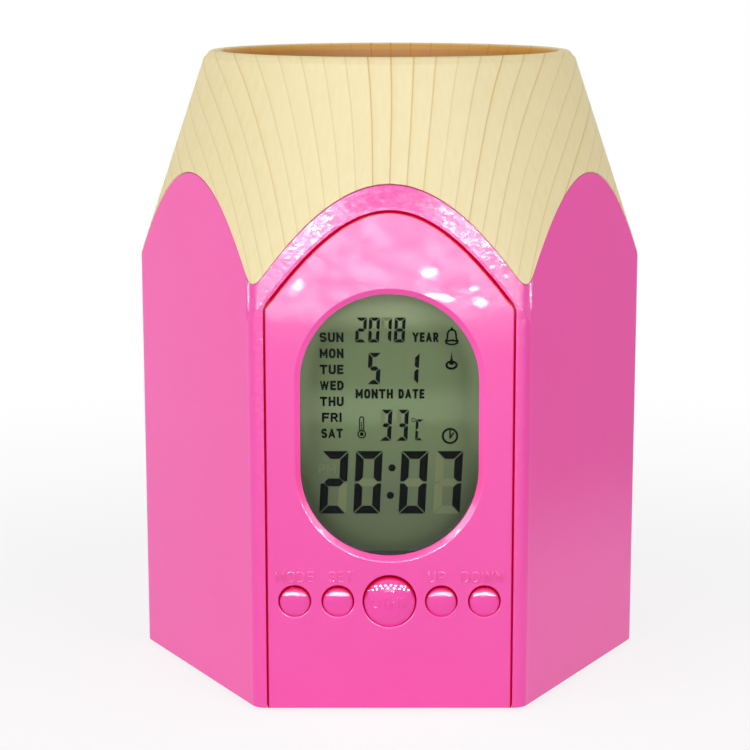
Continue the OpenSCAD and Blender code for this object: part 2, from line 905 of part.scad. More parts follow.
// Slots that let the sound of the buzzer out
module sound_slots() {
  slots = 5;
  slot_h = 1;
  for (i = [0:slots - 1])
    translate([-11, cover_back - 3, 65.6 + 2 * slot_h * i]) cube([10, 4, slot_h]);
}

module module_cover() {
  inset = 0.6;
  color(cream) difference() {
    union() {
      module_wall(cover_front + 0.1, cover_back - cover_t + 0.1, inset);
      slab(cover_back - cover_t, cover_back) polygon(fascia_points(-inset, module_z));
      for (p = module_screw_at) bar(p[0], p[1], boss_r + 0.4, cover_front + 0.1, cover_back);
    }
    for (p = module_screw_at) {
      bar(p[0], p[1], screw_r + screw_play, cover_front - 1, cover_back + 1);
      bar(p[0], p[1], screw_head_r + screw_play, cover_back - module_screw_sunk, cover_back + 1);
    }
    sound_slots();
    block([-16.4, cover_back - cover_t - 3, 0], [-7.5, cover_back + 1, 11.4]);
  }
}

module module_screws() {
  module_screw_l = 9;
  color(steel)
    for (p = module_screw_at)
      translate([p[0], cover_back - module_screw_sunk, p[1]])
        rotate([90, 0, 0]) screw(screw_r, screw_head_r, module_screw_l);
}

body_shell();
wood_collar();
pen_cup();
base_plate();
base_screws();
rubber_feet();
battery_door();
battery_cells();
spring_contacts();
plate_contacts();
positive_lead();
negative_lead();
clock_fascia();
display_window();
front_polariser();
lcd_front_glass();
lcd_rear_glass();
lcd_gasket();
reflector_film();
light_guide();
backlight_leds();
lcd_holder();
zebra_strips();
main_board();
clock_chip();
quartz_crystal();
thermistor();
alarm_buzzer();
board_parts();
switch_bodies();
module_cover();
module_screws();
mode_button();
set_button();
light_button();
up_button();
down_button();
mode_plunger();
set_plunger();
light_plunger();
up_plunger();
down_plunger();
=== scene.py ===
import math
import bmesh
import bpy
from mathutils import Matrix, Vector


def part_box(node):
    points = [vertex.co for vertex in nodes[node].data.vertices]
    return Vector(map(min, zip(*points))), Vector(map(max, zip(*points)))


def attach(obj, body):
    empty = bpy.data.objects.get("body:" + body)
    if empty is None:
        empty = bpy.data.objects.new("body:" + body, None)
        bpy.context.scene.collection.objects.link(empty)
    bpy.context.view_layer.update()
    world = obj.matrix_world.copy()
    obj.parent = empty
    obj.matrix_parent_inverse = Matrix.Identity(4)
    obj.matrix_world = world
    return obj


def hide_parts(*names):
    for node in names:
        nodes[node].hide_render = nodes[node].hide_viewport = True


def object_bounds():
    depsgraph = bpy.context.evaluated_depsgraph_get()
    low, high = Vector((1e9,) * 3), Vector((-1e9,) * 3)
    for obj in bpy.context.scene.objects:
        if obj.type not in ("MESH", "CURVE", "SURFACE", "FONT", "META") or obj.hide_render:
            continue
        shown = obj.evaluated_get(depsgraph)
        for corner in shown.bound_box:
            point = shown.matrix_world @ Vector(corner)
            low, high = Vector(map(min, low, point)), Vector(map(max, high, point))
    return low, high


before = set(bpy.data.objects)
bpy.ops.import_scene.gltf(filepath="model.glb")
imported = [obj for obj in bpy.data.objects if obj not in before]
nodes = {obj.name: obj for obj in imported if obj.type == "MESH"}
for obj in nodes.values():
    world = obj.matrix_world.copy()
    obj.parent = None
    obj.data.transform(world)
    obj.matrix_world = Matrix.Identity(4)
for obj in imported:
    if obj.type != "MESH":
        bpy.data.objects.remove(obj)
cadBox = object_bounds()
mm = 0.001  # sizes in the dictionaries are millimetres, but for the studio, in metres
white = (1, 1, 1, 1)
print("frame loaded,", len(nodes), "nodes")


# camera, at the place the photograph was taken from
photoView = {"place": (0, -436.59, 138.88), "tilt": 79.24, "lens": 105.67, "shiftX": -0.0194}


def placeCamera():
    bpy.ops.object.camera_add(
        location=Vector(photoView["place"]) * mm,
        rotation=(math.radians(photoView["tilt"]), 0, 0),
    )
    camera = bpy.context.object
    camera.data.lens = photoView["lens"]
    camera.data.shift_x = photoView["shiftX"]
    camera.data.clip_start = 0.01
    camera.data.clip_end = 60
    bpy.context.scene.camera = camera
    bpy.context.scene.view_settings.view_transform = "Standard"


placeCamera()
print("camera placed")


# shader maths: a wire is a socket that can be added, multiplied and so on
class Wire:
    def __init__(self, paint, socket):
        self.paint = paint
        self.socket = socket

    def maths(self, operation, first, second):
        return self.paint.add("Math", {"operation": operation}, {0: first, 1: second})

    def __add__(self, other):
        return self.maths("ADD", self, other)

    def __radd__(self, other):
        return self.maths("ADD", other, self)

    def __sub__(self, other):
        return self.maths("SUBTRACT", self, other)

    def __rsub__(self, other):
        return self.maths("SUBTRACT", other, self)

    def __mul__(self, other):
        return self.maths("MULTIPLY", self, other)

    def __rmul__(self, other):
        return self.maths("MULTIPLY", other, self)

    def __truediv__(self, other):
        return self.maths("DIVIDE", self, other)

    def __pow__(self, other):
        return self.maths("POWER", self, other)

    def __abs__(self):
        return self.paint.add("Math", {"operation": "ABSOLUTE"}, {0: self})

    def atLeast(self, other):
        return self.maths("MAXIMUM", self, other)

    def clamped(self):
        return self.paint.add("Clamp", {}, {"Value": self})


class Paint:
    # the nodes of one material, or of the world
    def __init__(self, name, holder=None):
        self.material = holder or bpy.data.materials.new(name)
        self.material.use_nodes = True
        self.tree = self.material.node_tree
        self.tree.nodes.clear()

    def add(self, kind, settings=None, sockets=None, output=0):
        node = self.tree.nodes.new("ShaderNode" + kind)
        for key, value in (settings or {}).items():
            setattr(node, key, value)
        for key, value in (sockets or {}).items():
            if isinstance(value, Wire):
                self.tree.links.new(value.socket, node.inputs[key])
            else:
                node.inputs[key].default_value = value
        return Wire(self, node.outputs[output]) if node.outputs else None

    def place(self):
        return self.add("TexCoord", output="Object")

    def axes(self):
        spot = self.place()
        return [self.add("SeparateXYZ", {}, {"Vector": spot}, output=axis) for axis in "XYZ"]

    def path(self, kind):
        return self.add("LightPath", output="Is " + kind + " Ray")

    def noise(self, size, detail, stretch=(1, 1, 1)):
        # cloud of values about 0.5; size is its grain in millimetres
        spot = self.add("Mapping", {}, {"Vector": self.place(), "Scale": stretch})
        return self.add("TexNoise", {}, {"Vector": spot, "Scale": 1 / (size * mm), "Detail": detail})

    def cloud(self, amount, size, detail):
        return amount * self.noise(size, detail)

    def mix(self, share, first, second):
        return self.add("Mix", {"data_type": "RGBA"}, {0: share, 6: first, 7: second}, output=2)

    def ramp(self, value, low, high, start=0.0, end=1.0):
        return self.add("MapRange", {"clamp": True}, {0: value, 1: low, 2: high, 3: start, 4: end})

    def ease(self, value, low, high, start=0.0, end=1.0):
        # a ramp with soft ends
        settings = {"interpolation_type": "SMOOTHSTEP"}
        return self.add("MapRange", settings, {0: value, 1: low, 2: high, 3: start, 4: end})

    def bump(self, height, depth):
        # depth in millimetres
        return self.add("Bump", {}, {"Strength": 1.0, "Distance": depth * mm, "Height": height})

    def shader(self, **sockets):
        named = {key.replace("_", " "): value for key, value in sockets.items()}
        return self.add("BsdfPrincipled", {}, named)

    def blend(self, share, first, second):
        return self.add("MixShader", {}, {0: share, 1: first, 2: second})

    def glow(self, strength):
        return self.add("Emission", {}, {"Color": white, "Strength": strength})

    def clear(self, colour=white):
        return self.add("BsdfTransparent", {}, {"Color": colour})

    def output(self, shader, kind="OutputMaterial"):
        self.add(kind, {}, {"Surface": shader})
        return self.material

    def finish(self, **sockets):
        return self.output(self.shader(**sockets))


def tint(red, green, blue):
    # a colour as read from a screen, 0 to 255, made linear
    def linear(level):
        level = level / 255
        return level / 12.92 if level < 0.04045 else ((level + 0.055) / 1.055) ** 2.4

    return (linear(red), linear(green), linear(blue), 1.0)


# finishes
pinkLook = {
    "colour": tint(234, 64, 164),
    "shade": tint(231, 58, 158),
    # painted shade and painted glow: deep is the dark red put in narrow gaps and hollows, glow the faint
    # light it gives off
    "deep": tint(205, 0, 50),
    "glow": tint(84, 0, 22),
    "roughness": 0.27,
    "reflection": 0.65,
    "ripple": 0.006,
    "polish": 0.37,
    "polishRoughness": 0.035,
    "polishIor": 1.8,
    "paintedShadeRoughness": 0.9,
    "cloudSize": 14,
    "broadSize": 7,
    "fineSize": 1.6,
    "fineRipple": 0.12,
    "fineHaze": 0.08,
}


def pinkFinish(name, relief=None, deep=None, ripple=1.0, polish=pinkLook["polish"], worn=None, ior=1.45):
    # relief gives a height in millimetres, deep the share of painted shade in narrow gaps and hollows
    # (a flat dark red that also gives off a faint painted glow), polish the share that mirrors sharply
    # and worn how much of that share is left
    paint = Paint(name)
    cloud = paint.noise(pinkLook["cloudSize"], 3)
    fine = paint.noise(pinkLook["fineSize"], 2)
    broad = paint.noise(pinkLook["broadSize"], 2)
    height = (broad + pinkLook["fineRipple"] * fine) * (pinkLook["ripple"] * ripple)
    if relief:
        height = height + relief(paint)
    normal = paint.bump(height, 1)
    share = deep(paint) if deep else None
    colour = paint.mix(cloud, pinkLook["colour"], pinkLook["shade"])
    if deep:
        colour = paint.mix(share, colour, pinkLook["deep"])
    soft = paint.shader(
        Base_Color=colour, Roughness=pinkLook["roughness"] + pinkLook["fineHaze"] * fine, IOR=ior,
        Specular_IOR_Level=pinkLook["reflection"], Normal=normal,
    )
    sharp = paint.shader(
        Base_Color=colour, Roughness=pinkLook["polishRoughness"], IOR=pinkLook["polishIor"], Normal=normal,
    )
    shader = paint.blend(worn(paint).clamped() * polish if worn else polish, soft, sharp)
    if deep:
        # painted shade: a flat dark red with a faint painted glow, standing in for shade and for light
        # passing through the plastic
        paintedGapShade = paint.shader(
            Base_Color=pinkLook["deep"], Roughness=pinkLook["paintedShadeRoughness"], Specular_IOR_Level=0.0,
            Emission_Color=pinkLook["glow"], Emission_Strength=1.0,
        )
        shader = paint.blend(share, shader, paintedGapShade)
    return paint.output(shader)


frontRelief = {
    "from": 68,
    "reach": 26,
    "tilt": 0.3,
    # height, grain and detail of each cloud
    "wave": (0.02, 9, 1),
    "grain": (0.0019, 0.7, 2),
    "scratch": (0.13, 1.6, 3),
    "grainFrom": (66, 76),
    "bandFrom": 0.9,
    "roll": 0.49,
    "streakSize": 1.1,
    "streakFrom": (74, 79),
    "streakRange": (0.64, 0.46),
    "shine": 1.6,
    "wear": 1.55,
    "facing": (0.7, 1.9, 1.0, 0.0),
}

# depths, distances and heights over which the painted shade of seams, holes, cap rims and the window ring's
# foot sets in
paintedShadeRanges = {
    "edge": (0.2, 0.4),
    "archEdge": (-0.6, -0.15),
    "archFrom": (74, 78),
    "windowEdge": (1.4, 1.8),
    "ringEdge": (0.8, 0.9, 1.0, 0.0),
    "ringFrom": (54, 44),
    "ringShadeShare": 0.12,
    "holesTop": (28, 28.2),
    "holesLow": (14, 14.2),
    "holesUpper": (-1.5, 0.5),
    "holesBeside": (-0.7, -0.6),
    "holeDepth": (0.45, 0.65),
    "openingSide": (0.5, 0.6, 1.0, 0.0),
    "openingDepth": (3.0, 3.2, 1.0, 0.0),
    "openingFrom": (74, 80, 0.0, 0.15),
    "openingEdge": (0.3, 0.55),
    "capRim": (-0.04, 0.06),
    "capUpper": (0, 2.5),
    "capShade": (-0.24, 0),
}


def frontSpot(paint):
    # place in millimetres, with y measured back from the clock's front
    x, y, z = (axis / mm for axis in paint.axes())
    return x, y - front["y"], z


def archDistance(x, z):
    # millimetres outwards from the arch of the clock's front
    slope = archSlope(x)
    return (z - archHeight(x)) / (slope * slope + 1) ** 0.5


def windowDistance(x, z):
    # millimetres from the window's edge
    lift = (front["windowHeight"] - front["windowWidth"]) / 2
    rise = (abs(z - front["windowMiddle"]) - lift).atLeast(0.0)
    return (x * x + rise * rise) ** 0.5 - front["windowWidth"] / 2


def facingFront(paint, back):
    return paint.ease(back, *frontRelief["facing"])


def upperRelief(band):
    # the slight rounding of the clock front, or of the band over its arch
    def relief(paint):
        x, back, z = frontSpot(paint)
        rise = (z - frontRelief["from"]).atLeast(0.0)
        height = -frontRelief["tilt"] * (rise / frontRelief["reach"]) ** 1.5
        height = height + paint.cloud(*frontRelief["wave"])
        height = height + paint.cloud(*frontRelief["grain"]) * paint.ramp(z, *frontRelief["grainFrom"])
        if band:
            away = (archDistance(x, z) - frontRelief["bandFrom"]).atLeast(0.0)
            height = height - frontRelief["roll"] * away
            height = height + paint.cloud(*frontRelief["scratch"])
        return height * facingFront(paint, back)

    return relief


def bandWear(paint):
    # the band over the arch is glossy only in streaks
    back, z = frontSpot(paint)[1:]
    streak = paint.noise(frontRelief["streakSize"], 3, (1, 1, 0.45))
    facing = facingFront(paint, back) * paint.ramp(z, *frontRelief["streakFrom"])
    worn = paint.ramp(streak, *frontRelief["streakRange"], 0.0, frontRelief["wear"])
    return frontRelief["shine"] - facing * worn


def frontPaintedShade(paint):
    # painted shade at the outer edge, in a soft band beneath the arch and in the button holes, and more
    # thinly at the foot of the window's ring
    x, back, z = frontSpot(paint)
    rise = (z - front["leanFrom"]).atLeast(0.0)
    lean = front["topLean"] * (rise / (front["top"] - front["leanFrom"])) ** 1.5
    side = x * (2 / front["width"])
    depth = paint.ramp(back - lean - front["sideLean"] * side * side, *paintedShadeRanges["edge"])
    top = paint.ease(archDistance(x, z), *paintedShadeRanges["archEdge"])
    depth = depth.atLeast(top * paint.ramp(z, *paintedShadeRanges["archFrom"]))
    away = windowDistance(x, z)
    above = paint.ramp(z, *paintedShadeRanges["holesTop"])
    upper = paint.ramp(z - front["buttonHeight"], *paintedShadeRanges["holesUpper"])
    beside = paint.ramp(abs(x) - front["width"] / 2, *paintedShadeRanges["holesBeside"])
    ring = paintedShadeRanges["ringShadeShare"] * paint.ramp(away, *paintedShadeRanges["ringEdge"]) * paint.ramp(z, *paintedShadeRanges["ringFrom"])
    share = depth * paint.ramp(away, *paintedShadeRanges["windowEdge"]) * (above + upper + beside).clamped()
    holes = (1 - above) * paint.ramp(z, *paintedShadeRanges["holesLow"])
    return (share + ring).atLeast(holes * paint.ramp(back, *paintedShadeRanges["holeDepth"]))


def bodyPaintedShade(paint):
    # painted shade on the walls of the opening that the clock fills
    x, back, z = frontSpot(paint)
    inside = paint.ramp(abs(x) - front["width"] / 2, *paintedShadeRanges["openingSide"])
    inside = inside * paint.ramp(back, *paintedShadeRanges["openingDepth"])
    return inside * paint.ramp(back + paint.ramp(z, *paintedShadeRanges["openingFrom"]), *paintedShadeRanges["openingEdge"])


def buttonPaintedShade(paint):
    # painted shade on the rim of a cap, widened into a painted shadow of its hole's edge where it faces up
    back, z = frontSpot(paint)[1:]
    drop = back - buttonLook["edgeDrop"]
    upper = paint.ramp(z - front["buttonHeight"], *paintedShadeRanges["capUpper"])
    return (paint.ramp(drop, *paintedShadeRanges["capRim"]) + upper * paint.ramp(drop, *paintedShadeRanges["capShade"])).clamped()


def buttonWorn(paint):
    # little gloss towards the top of a cap
    back, z = frontSpot(paint)[1:]
    high = paint.ramp(z - front["buttonHeight"], *buttonLook["wornRise"])
    return 1 - buttonLook["wear"] * high * paint.ramp(back, *buttonLook["wornDepth"])


woodLook = {
    "pale": tint(219, 205, 158),
    "warm": tint(211, 190, 136),
    "line": tint(190, 158, 100),
    # painted shade: inner is the darker warm brown inside the mouth, deep the still darker brown further down
    "inner": tint(192, 136, 44),
    "deep": tint(164, 100, 34),
    "spacing": 4.15,
    "fan": 16.3,
    "lineWidth": 0.05,
    "lineTail": 2.4,
    "faintest": 0.3,
    "wander": 0.5,
    "wobble": 0.04,
    "shift": 0.02,
    "seed": 0.5,
    "warmWidth": 0.45,
    "warmLine": 0.5,
    "warmGrain": 0.25,
    "insideShadeFrom": (1.3, 0.2),
    "insideShadeDepth": (0.5, 5.0),
    "roughness": 0.58,
    "ior": 1.38,
    "relief": 0.012,
}


def woodFinish():
    paint = Paint("woodPrint")
    x, y, z = paint.axes()
    wander = paint.noise(30, 1.0, (1, 1, 0.7)) - 0.5
    small = paint.noise(4, 2, (1, 1, 0.4)) - 0.5
    drop = cadBox[1].z - z
    across = x * (1 + woodLook["fan"] * drop) / (woodLook["spacing"] * mm)
    across = across + woodLook["wander"] * wander + woodLook["wobble"] * small + woodLook["shift"]
    ring = paint.add("Math", {"operation": "FLOOR"}, {0: across})
    share = across - ring
    strength = paint.add("TexWhiteNoise", {"noise_dimensions": "1D"}, {"W": ring + woodLook["seed"]})
    strong = woodLook["faintest"] + (1 - woodLook["faintest"]) * strength ** 3
    width = woodLook["lineWidth"]
    fall = paint.ease(share, width, woodLook["lineTail"] * width, 1.0, 0.0)
    line = paint.ease(share, 0.0, width) * fall
    beside = paint.ease(share, width, woodLook["warmWidth"], 1.0, 0.0)
    streak = paint.noise(1.0, 2, (1, 1, 0.05))
    warmth = woodLook["warmLine"] * beside * strong + woodLook["warmGrain"] * paint.ramp(streak, 0.35, 0.75)
    base = paint.mix(warmth, woodLook["pale"], woodLook["warm"])
    colour = paint.mix(line * strong, base, woodLook["line"])
    # painted shade: inside the mouth the print turns to a darker warm brown that darkens downwards
    radius = (x * x + y * y) ** 0.5 / mm
    inside = paint.ease(radius - pencil["mouthRadius"], *woodLook["insideShadeFrom"])
    depth = paint.ramp(drop / mm, *woodLook["insideShadeDepth"])
    inner = paint.mix(depth, woodLook["inner"], woodLook["deep"])
    colour = paint.mix(inside, colour, paint.mix(0.7 * line * strong, inner, woodLook["deep"]))
    return paint.finish(
        Base_Color=colour,
        Roughness=woodLook["roughness"] + 0.1 * paint.ramp(streak, 0.3, 0.7),
        IOR=woodLook["ior"],
        Normal=paint.bump(0.3 * streak - line * strong, woodLook["relief"]),
    )


def plainFinish(name, colour, roughness, grain, depth, vary, metal=0.0):
    # moulded, cast or drawn stuff with a fine grain and a slight change of tone
    paint = Paint(name)
    cloud = paint.noise(9, 3)
    fine = paint.noise(grain, 3)
    dark = tuple(level * (1 - 2 * vary) for level in colour[:3]) + (1.0,)
    return paint.finish(
        Base_Color=paint.mix(paint.ramp(cloud, 0.3, 0.7), colour, dark),
        Roughness=roughness + 0.12 * (fine - 0.5),
        Metallic=metal,
        Normal=paint.bump(fine, depth),
    )


print("finishes ready")


# selecting, cutting and finishing
def deselect():
    active = bpy.context.object
    if active and active.mode != "OBJECT":
        bpy.ops.object.mode_set(mode="OBJECT")
    bpy.ops.object.select_all(action="DESELECT")


def take(piece):
    deselect()
    piece.select_set(True)
    bpy.context.view_layer.objects.active = piece


def edit(piece):
    # edit mode, with all of the piece selected
    take(piece)
    bpy.ops.object.mode_set(mode="EDIT")
    bpy.ops.mesh.select_all(action="SELECT")


def faceOutwards(merge=0.0):
    # closes doubled seams, turns the faces outwards and leaves edit mode
    bpy.ops.mesh.select_all(action="SELECT")
    if merge:
        bpy.ops.mesh.remove_doubles(threshold=merge * mm)
    bpy.ops.mesh.normals_make_consistent(inside=False)
    bpy.ops.object.mode_set(mode="OBJECT")


def change(piece, kind, **settings):
    # a modifier, applied at once
    take(piece)
    modifier = piece.modifiers.new("change", kind)
    for key, value in settings.items():
        setattr(modifier, key, value)
    bpy.ops.object.modifier_apply(modifier="change")


def pickEdges(test):
    # selects the edges whose ends pass the test
    bpy.ops.mesh.select_mode(type="EDGE")
    bpy.ops.mesh.select_all(action="DESELECT")
    mesh = bmesh.from_edit_mesh(bpy.context.object.data)
    found = [edge for edge in mesh.edges if all(test(corner.co / mm) for corner in edge.verts)]
    for edge in found:
        edge.select_set(True)
    bmesh.update_edit_mesh(bpy.context.object.data)
    return len(found)


def outline(name, points, front, back):
    # a flat outline in X and Z, drawn back along Y
    deselect()
    bpy.ops.mesh.primitive_circle_add(vertices=len(points), radius=1, fill_type="NGON")
    piece = bpy.context.object
    piece.name = name
    for corner, (x, z) in zip(piece.data.vertices, points):
        corner.co = Vector((x, front, z)) * mm
    if back > front:
        edit(piece)
        bpy.ops.mesh.extrude_region_move(TRANSFORM_OT_translate={"value": (0, (back - front) * mm, 0)})
        faceOutwards()
    return piece


def turned(name, profile, steps, centre):
    # a closed profile of (radius, depth) points spun about a line along Y
    deselect()
    bpy.ops.mesh.primitive_circle_add(vertices=len(profile), radius=1, fill_type="NOTHING")
    piece = bpy.context.object
    piece.name = name
    for corner, (radius, depth) in zip(piece.data.vertices, profile):
        corner.co = (Vector(centre) + Vector((radius, depth, 0))) * mm
    edit(piece)
    bpy.ops.mesh.spin(steps=steps, angle=math.radians(360), center=Vector(centre) * mm, axis=(0, 1, 0))
    faceOutwards(0.0005)
    return piece


def wrap(name, columns, rows, place):
    # a grid laid over a closed form, each point placed by its column and row
    deselect()
    bpy.ops.mesh.primitive_grid_add(x_subdivisions=columns, y_subdivisions=rows, size=2)
    piece = bpy.context.object
    piece.name = name
    for corner in piece.data.vertices:
        i = round((corner.co.x + 1) / 2 * columns) % columns
        j = round((corner.co.y + 1) / 2 * rows)
        corner.co = Vector(place(i, j)) * mm
    edit(piece)
    faceOutwards(0.001)
    return piece


def cutAway(piece, tool):
    change(piece, "BOOLEAN", operation="DIFFERENCE", object=tool, solver="EXACT")
    bpy.data.objects.remove(tool, do_unlink=True)


def clean(piece):
    # drops the needless corners that a cut leaves on flat faces
    edit(piece)
    bpy.ops.mesh.remove_doubles(threshold=0.001 * mm)
    bpy.ops.mesh.dissolve_limited(angle_limit=math.radians(0.4))
    bpy.ops.object.mode_set(mode="OBJECT")


def roundEdges(piece, test, radius, segments):
    edit(piece)
    count = pickEdges(test)
    bpy.ops.mesh.bevel(offset=radius * mm, segments=segments, profile=0.5, clamp_overlap=True)
    bpy.ops.object.mode_set(mode="OBJECT")
    print("  rounded", count, "edges of", piece.name)


def join(pieces, name):
    take(pieces[0])
    for piece in pieces:
        piece.select_set(True)
    bpy.ops.object.join()
    pieces[0].name = name
    return pieces[0]


def dress(piece, name, body, finish, replaced=(), weighted=True):
    piece.name = name
    piece.data.name = name
    take(piece)
    bpy.ops.object.shade_smooth_by_angle(angle=math.radians(35))
    if weighted:
        change(piece, "WEIGHTED_NORMAL", keep_sharp=True)
    piece.data.materials.clear()
    piece.data.materials.append(finish)
    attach(piece, body)
    if replaced:
        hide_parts(*replaced)


# body of the pencil: a hexagon whose top edge is scalloped where the cone meets it
pencil = {
    "height": 121,
    "flats": 86.6,
    "corner": 3,
    "innerCorner": 1,
    "wall": 2.4,
    "low": 0.6,
    "footRound": 0.35,
    "edgeRound": 0.18,
    "openingRound": 0.65,
    "rimRadius": 35.9,
    "slope": 0.338,
    "mouthRadius": 32.3,
    "rimRound": 1.4,
    "throat": 97.6,
    "throatWall": 2,
    "skirt": 76,
    "skirtWall": 2,
    "hollow": 5,
    "shoulder": 2.2,
    "pocketBack": -27.6,
    "gap": 0.08,
    "stepRound": 0.15,
    "edgeDrop": 0.3,
    "trough": 80.4,
    "troughSoft": 1.0,
}
pencil["apothem"] = pencil["flats"] / 2
hexagon = {"flat": 36, "turn": 8}
hexagon["columns"] = 6 * (hexagon["flat"] + hexagon["turn"])

front = {
    "width": 45.2,
    "top": 93.9,
    "archWidth": 24.9,
    "archFlat": 0.5,
    "archSteps": 40,
    "bend": 3,
    "bendSteps": 6,
    "thick": 2.2,
    "seam": 0.35,
    "windowWidth": 32.8,
    "windowHeight": 49,
    "windowMiddle": 54.4,
    "bevel": 0.9,
    "lens": 1.0,
    "buttonHeight": 21.4,
    "smallHole": 3.05,
    "largeHole": 5.0,
    "holeDepth": 1.25,
    "holeRound": 0.2,
    "guide": 0.6,
    "guideDepth": 4,
    "sideSteps": 30,
    "faceRows": 14,
    "edgeRound": 0.3,
    "ringRound": 0.24,
    "ringTurn": ((0.4, 0.08), (-0.1, 0.35)),
    "bevelDepth": 0.7,
    "bevelTurn": (0.06, 0.08),
    "ledge": 0.27,
    "ledgeDepth": 0.6,
    "lensLap": 1.7,
    "wallDepth": 10.0,
    "wallOutside": 0.5,
    "wallInside": 1.9,
    "leanFrom": 68,
    "topLean": 0.8,
    "sideLean": 0.12,
}
front["y"] = -pencil["apothem"]
buttonRow = {"mode": -17.6, "set": -9.6, "light": 0, "up": 9.6, "down": 17.6}


def coneRadius(z):
    return pencil["rimRadius"] + pencil["slope"] * (pencil["height"] - z)


def scallopHeight(u):
    # edge of the body: just under the line where the cone meets a face, and rounded at the corners
    meet = pencil["height"] - (math.hypot(pencil["apothem"], u) - pencil["rimRadius"]) / pencil["slope"]
    z = meet - pencil["edgeDrop"]
    return (z + pencil["trough"] + math.hypot(z - pencil["trough"], pencil["troughSoft"])) / 2


# the arch is a hyperbola; x may be a number or a wire
def archHeight(x):
    a = front["archWidth"]
    return front["top"] - ((x * x + a * a) ** 0.5 - a) / front["archFlat"]


def archSlope(x):
    return x / (front["archFlat"] * (x * x + front["archWidth"] ** 2) ** 0.5)


def archOutline(grow, low):
    # round the clock's front, moved outwards by grow, from the lower right corner
    half = front["width"] / 2
    bend, steps = front["bend"], front["archSteps"]
    slope = archSlope(half - bend / 5)
    length = math.hypot(1, slope)
    bendX = half - bend * (1 - slope / length)
    bendZ = archHeight(bendX) - bend / length
    right = [(half + grow, low)]
    turn = math.atan(1 / slope)
    for j in range(front["bendSteps"] + 1):
        angle = turn * j / front["bendSteps"]
        radius = bend + grow
        right.append((half - bend + radius * math.cos(angle), bendZ + radius * math.sin(angle)))
    arch = []
    for j in range(1, steps):
        x = bendX * (1 - 2 * j / steps)
        s = archSlope(x)
        n = math.hypot(1, s)
        arch.append((x + grow * s / n, archHeight(x) + grow / n))
    left = [(-x, z) for x, z in reversed(right)]
    return right + arch + left


def holeRadius(name):
    return front["largeHole"] if name == "light" else front["smallHole"]


def circle(x, z, radius, steps=56):
    turns = [2 * math.pi * (j + 0.5) / steps for j in range(steps)]
    return [(x + radius * math.cos(turn), z + radius * math.sin(turn)) for turn in turns]


def hexPoint(apothem, corner, i):
    # a point of the rounded hexagon, with its sideways place on the nearest face
    face, step = divmod(i, hexagon["flat"] + hexagon["turn"])
    half = (apothem - corner) * math.tan(math.radians(30))
    if step <= hexagon["flat"]:
        u, out = half * math.sin(math.radians(180 * step / hexagon["flat"] - 90)), apothem
    else:
        angle = math.radians(60 * (step - hexagon["flat"]) / hexagon["turn"])
        u, out = half + corner * math.sin(angle), apothem - corner + corner * math.cos(angle)
    turn = math.radians(60 * face - 90)
    x = out * math.cos(turn) - u * math.sin(turn)
    y = out * math.sin(turn) + u * math.cos(turn)
    if step > hexagon["flat"] + hexagon["turn"] / 2:
        angle = math.radians(60) - angle
        u = half + corner * math.sin(angle)
    return x, y, u


def near(points, closed=False):
    # a test for corners that lie on a line of points in X and Z
    reach = 0.03
    line = [Vector(point) for point in points]
    pairs = list(zip(line, line[1:] + (line[:1] if closed else [])))

    def test(corner):
        spot = Vector((corner.x, corner.z))
        for a, b in pairs:
            along = b - a
            share = min(max((spot - a).dot(along) / along.length_squared, 0), 1)
            if (a + along * share - spot).length < reach:
                return True
        return False

    return test


def makePencilBody():
    low, y = pencil["low"], front["y"]
    outer, corner, wall = pencil["apothem"], pencil["corner"], pencil["wall"]
    foot, edge = pencil["footRound"], pencil["edgeRound"]

    def place(i, j):
        # rows run up the outside from the foot, over the edge and down the inside
        if j in (0, 9):
            x, y, u = hexPoint(outer - wall, pencil["innerCorner"], i)
            return x, y, low
        if j <= 4:
            angle = math.radians(30 * (j - 1))
            x, y, u = hexPoint(outer - foot + foot * math.sin(angle), corner, i)
            return x, y, low + foot - foot * math.cos(angle)
        if j <= 7:
            angle = math.radians(45 * (j - 5))
            x, y, u = hexPoint(outer - edge + edge * math.cos(angle), corner, i)
            return x, y, scallopHeight(u) - edge + edge * math.sin(angle)
        x, y, u = hexPoint(outer - wall, pencil["innerCorner"], i)
        return x, y, scallopHeight(u)

    body = wrap("body", hexagon["columns"], 9, place)
    arch = archOutline(front["seam"], low - 1)
    cutAway(body, outline("opening", arch, y - 1, y + wall + 1))
    clean(body)
    along = near(arch)
    roundEdges(body, lambda spot: abs(spot.y - y) < 0.01 and along(spot), pencil["openingRound"], 4)
    dress(body, "pencilBody", "housing", pinkShell, ["body_shell"])


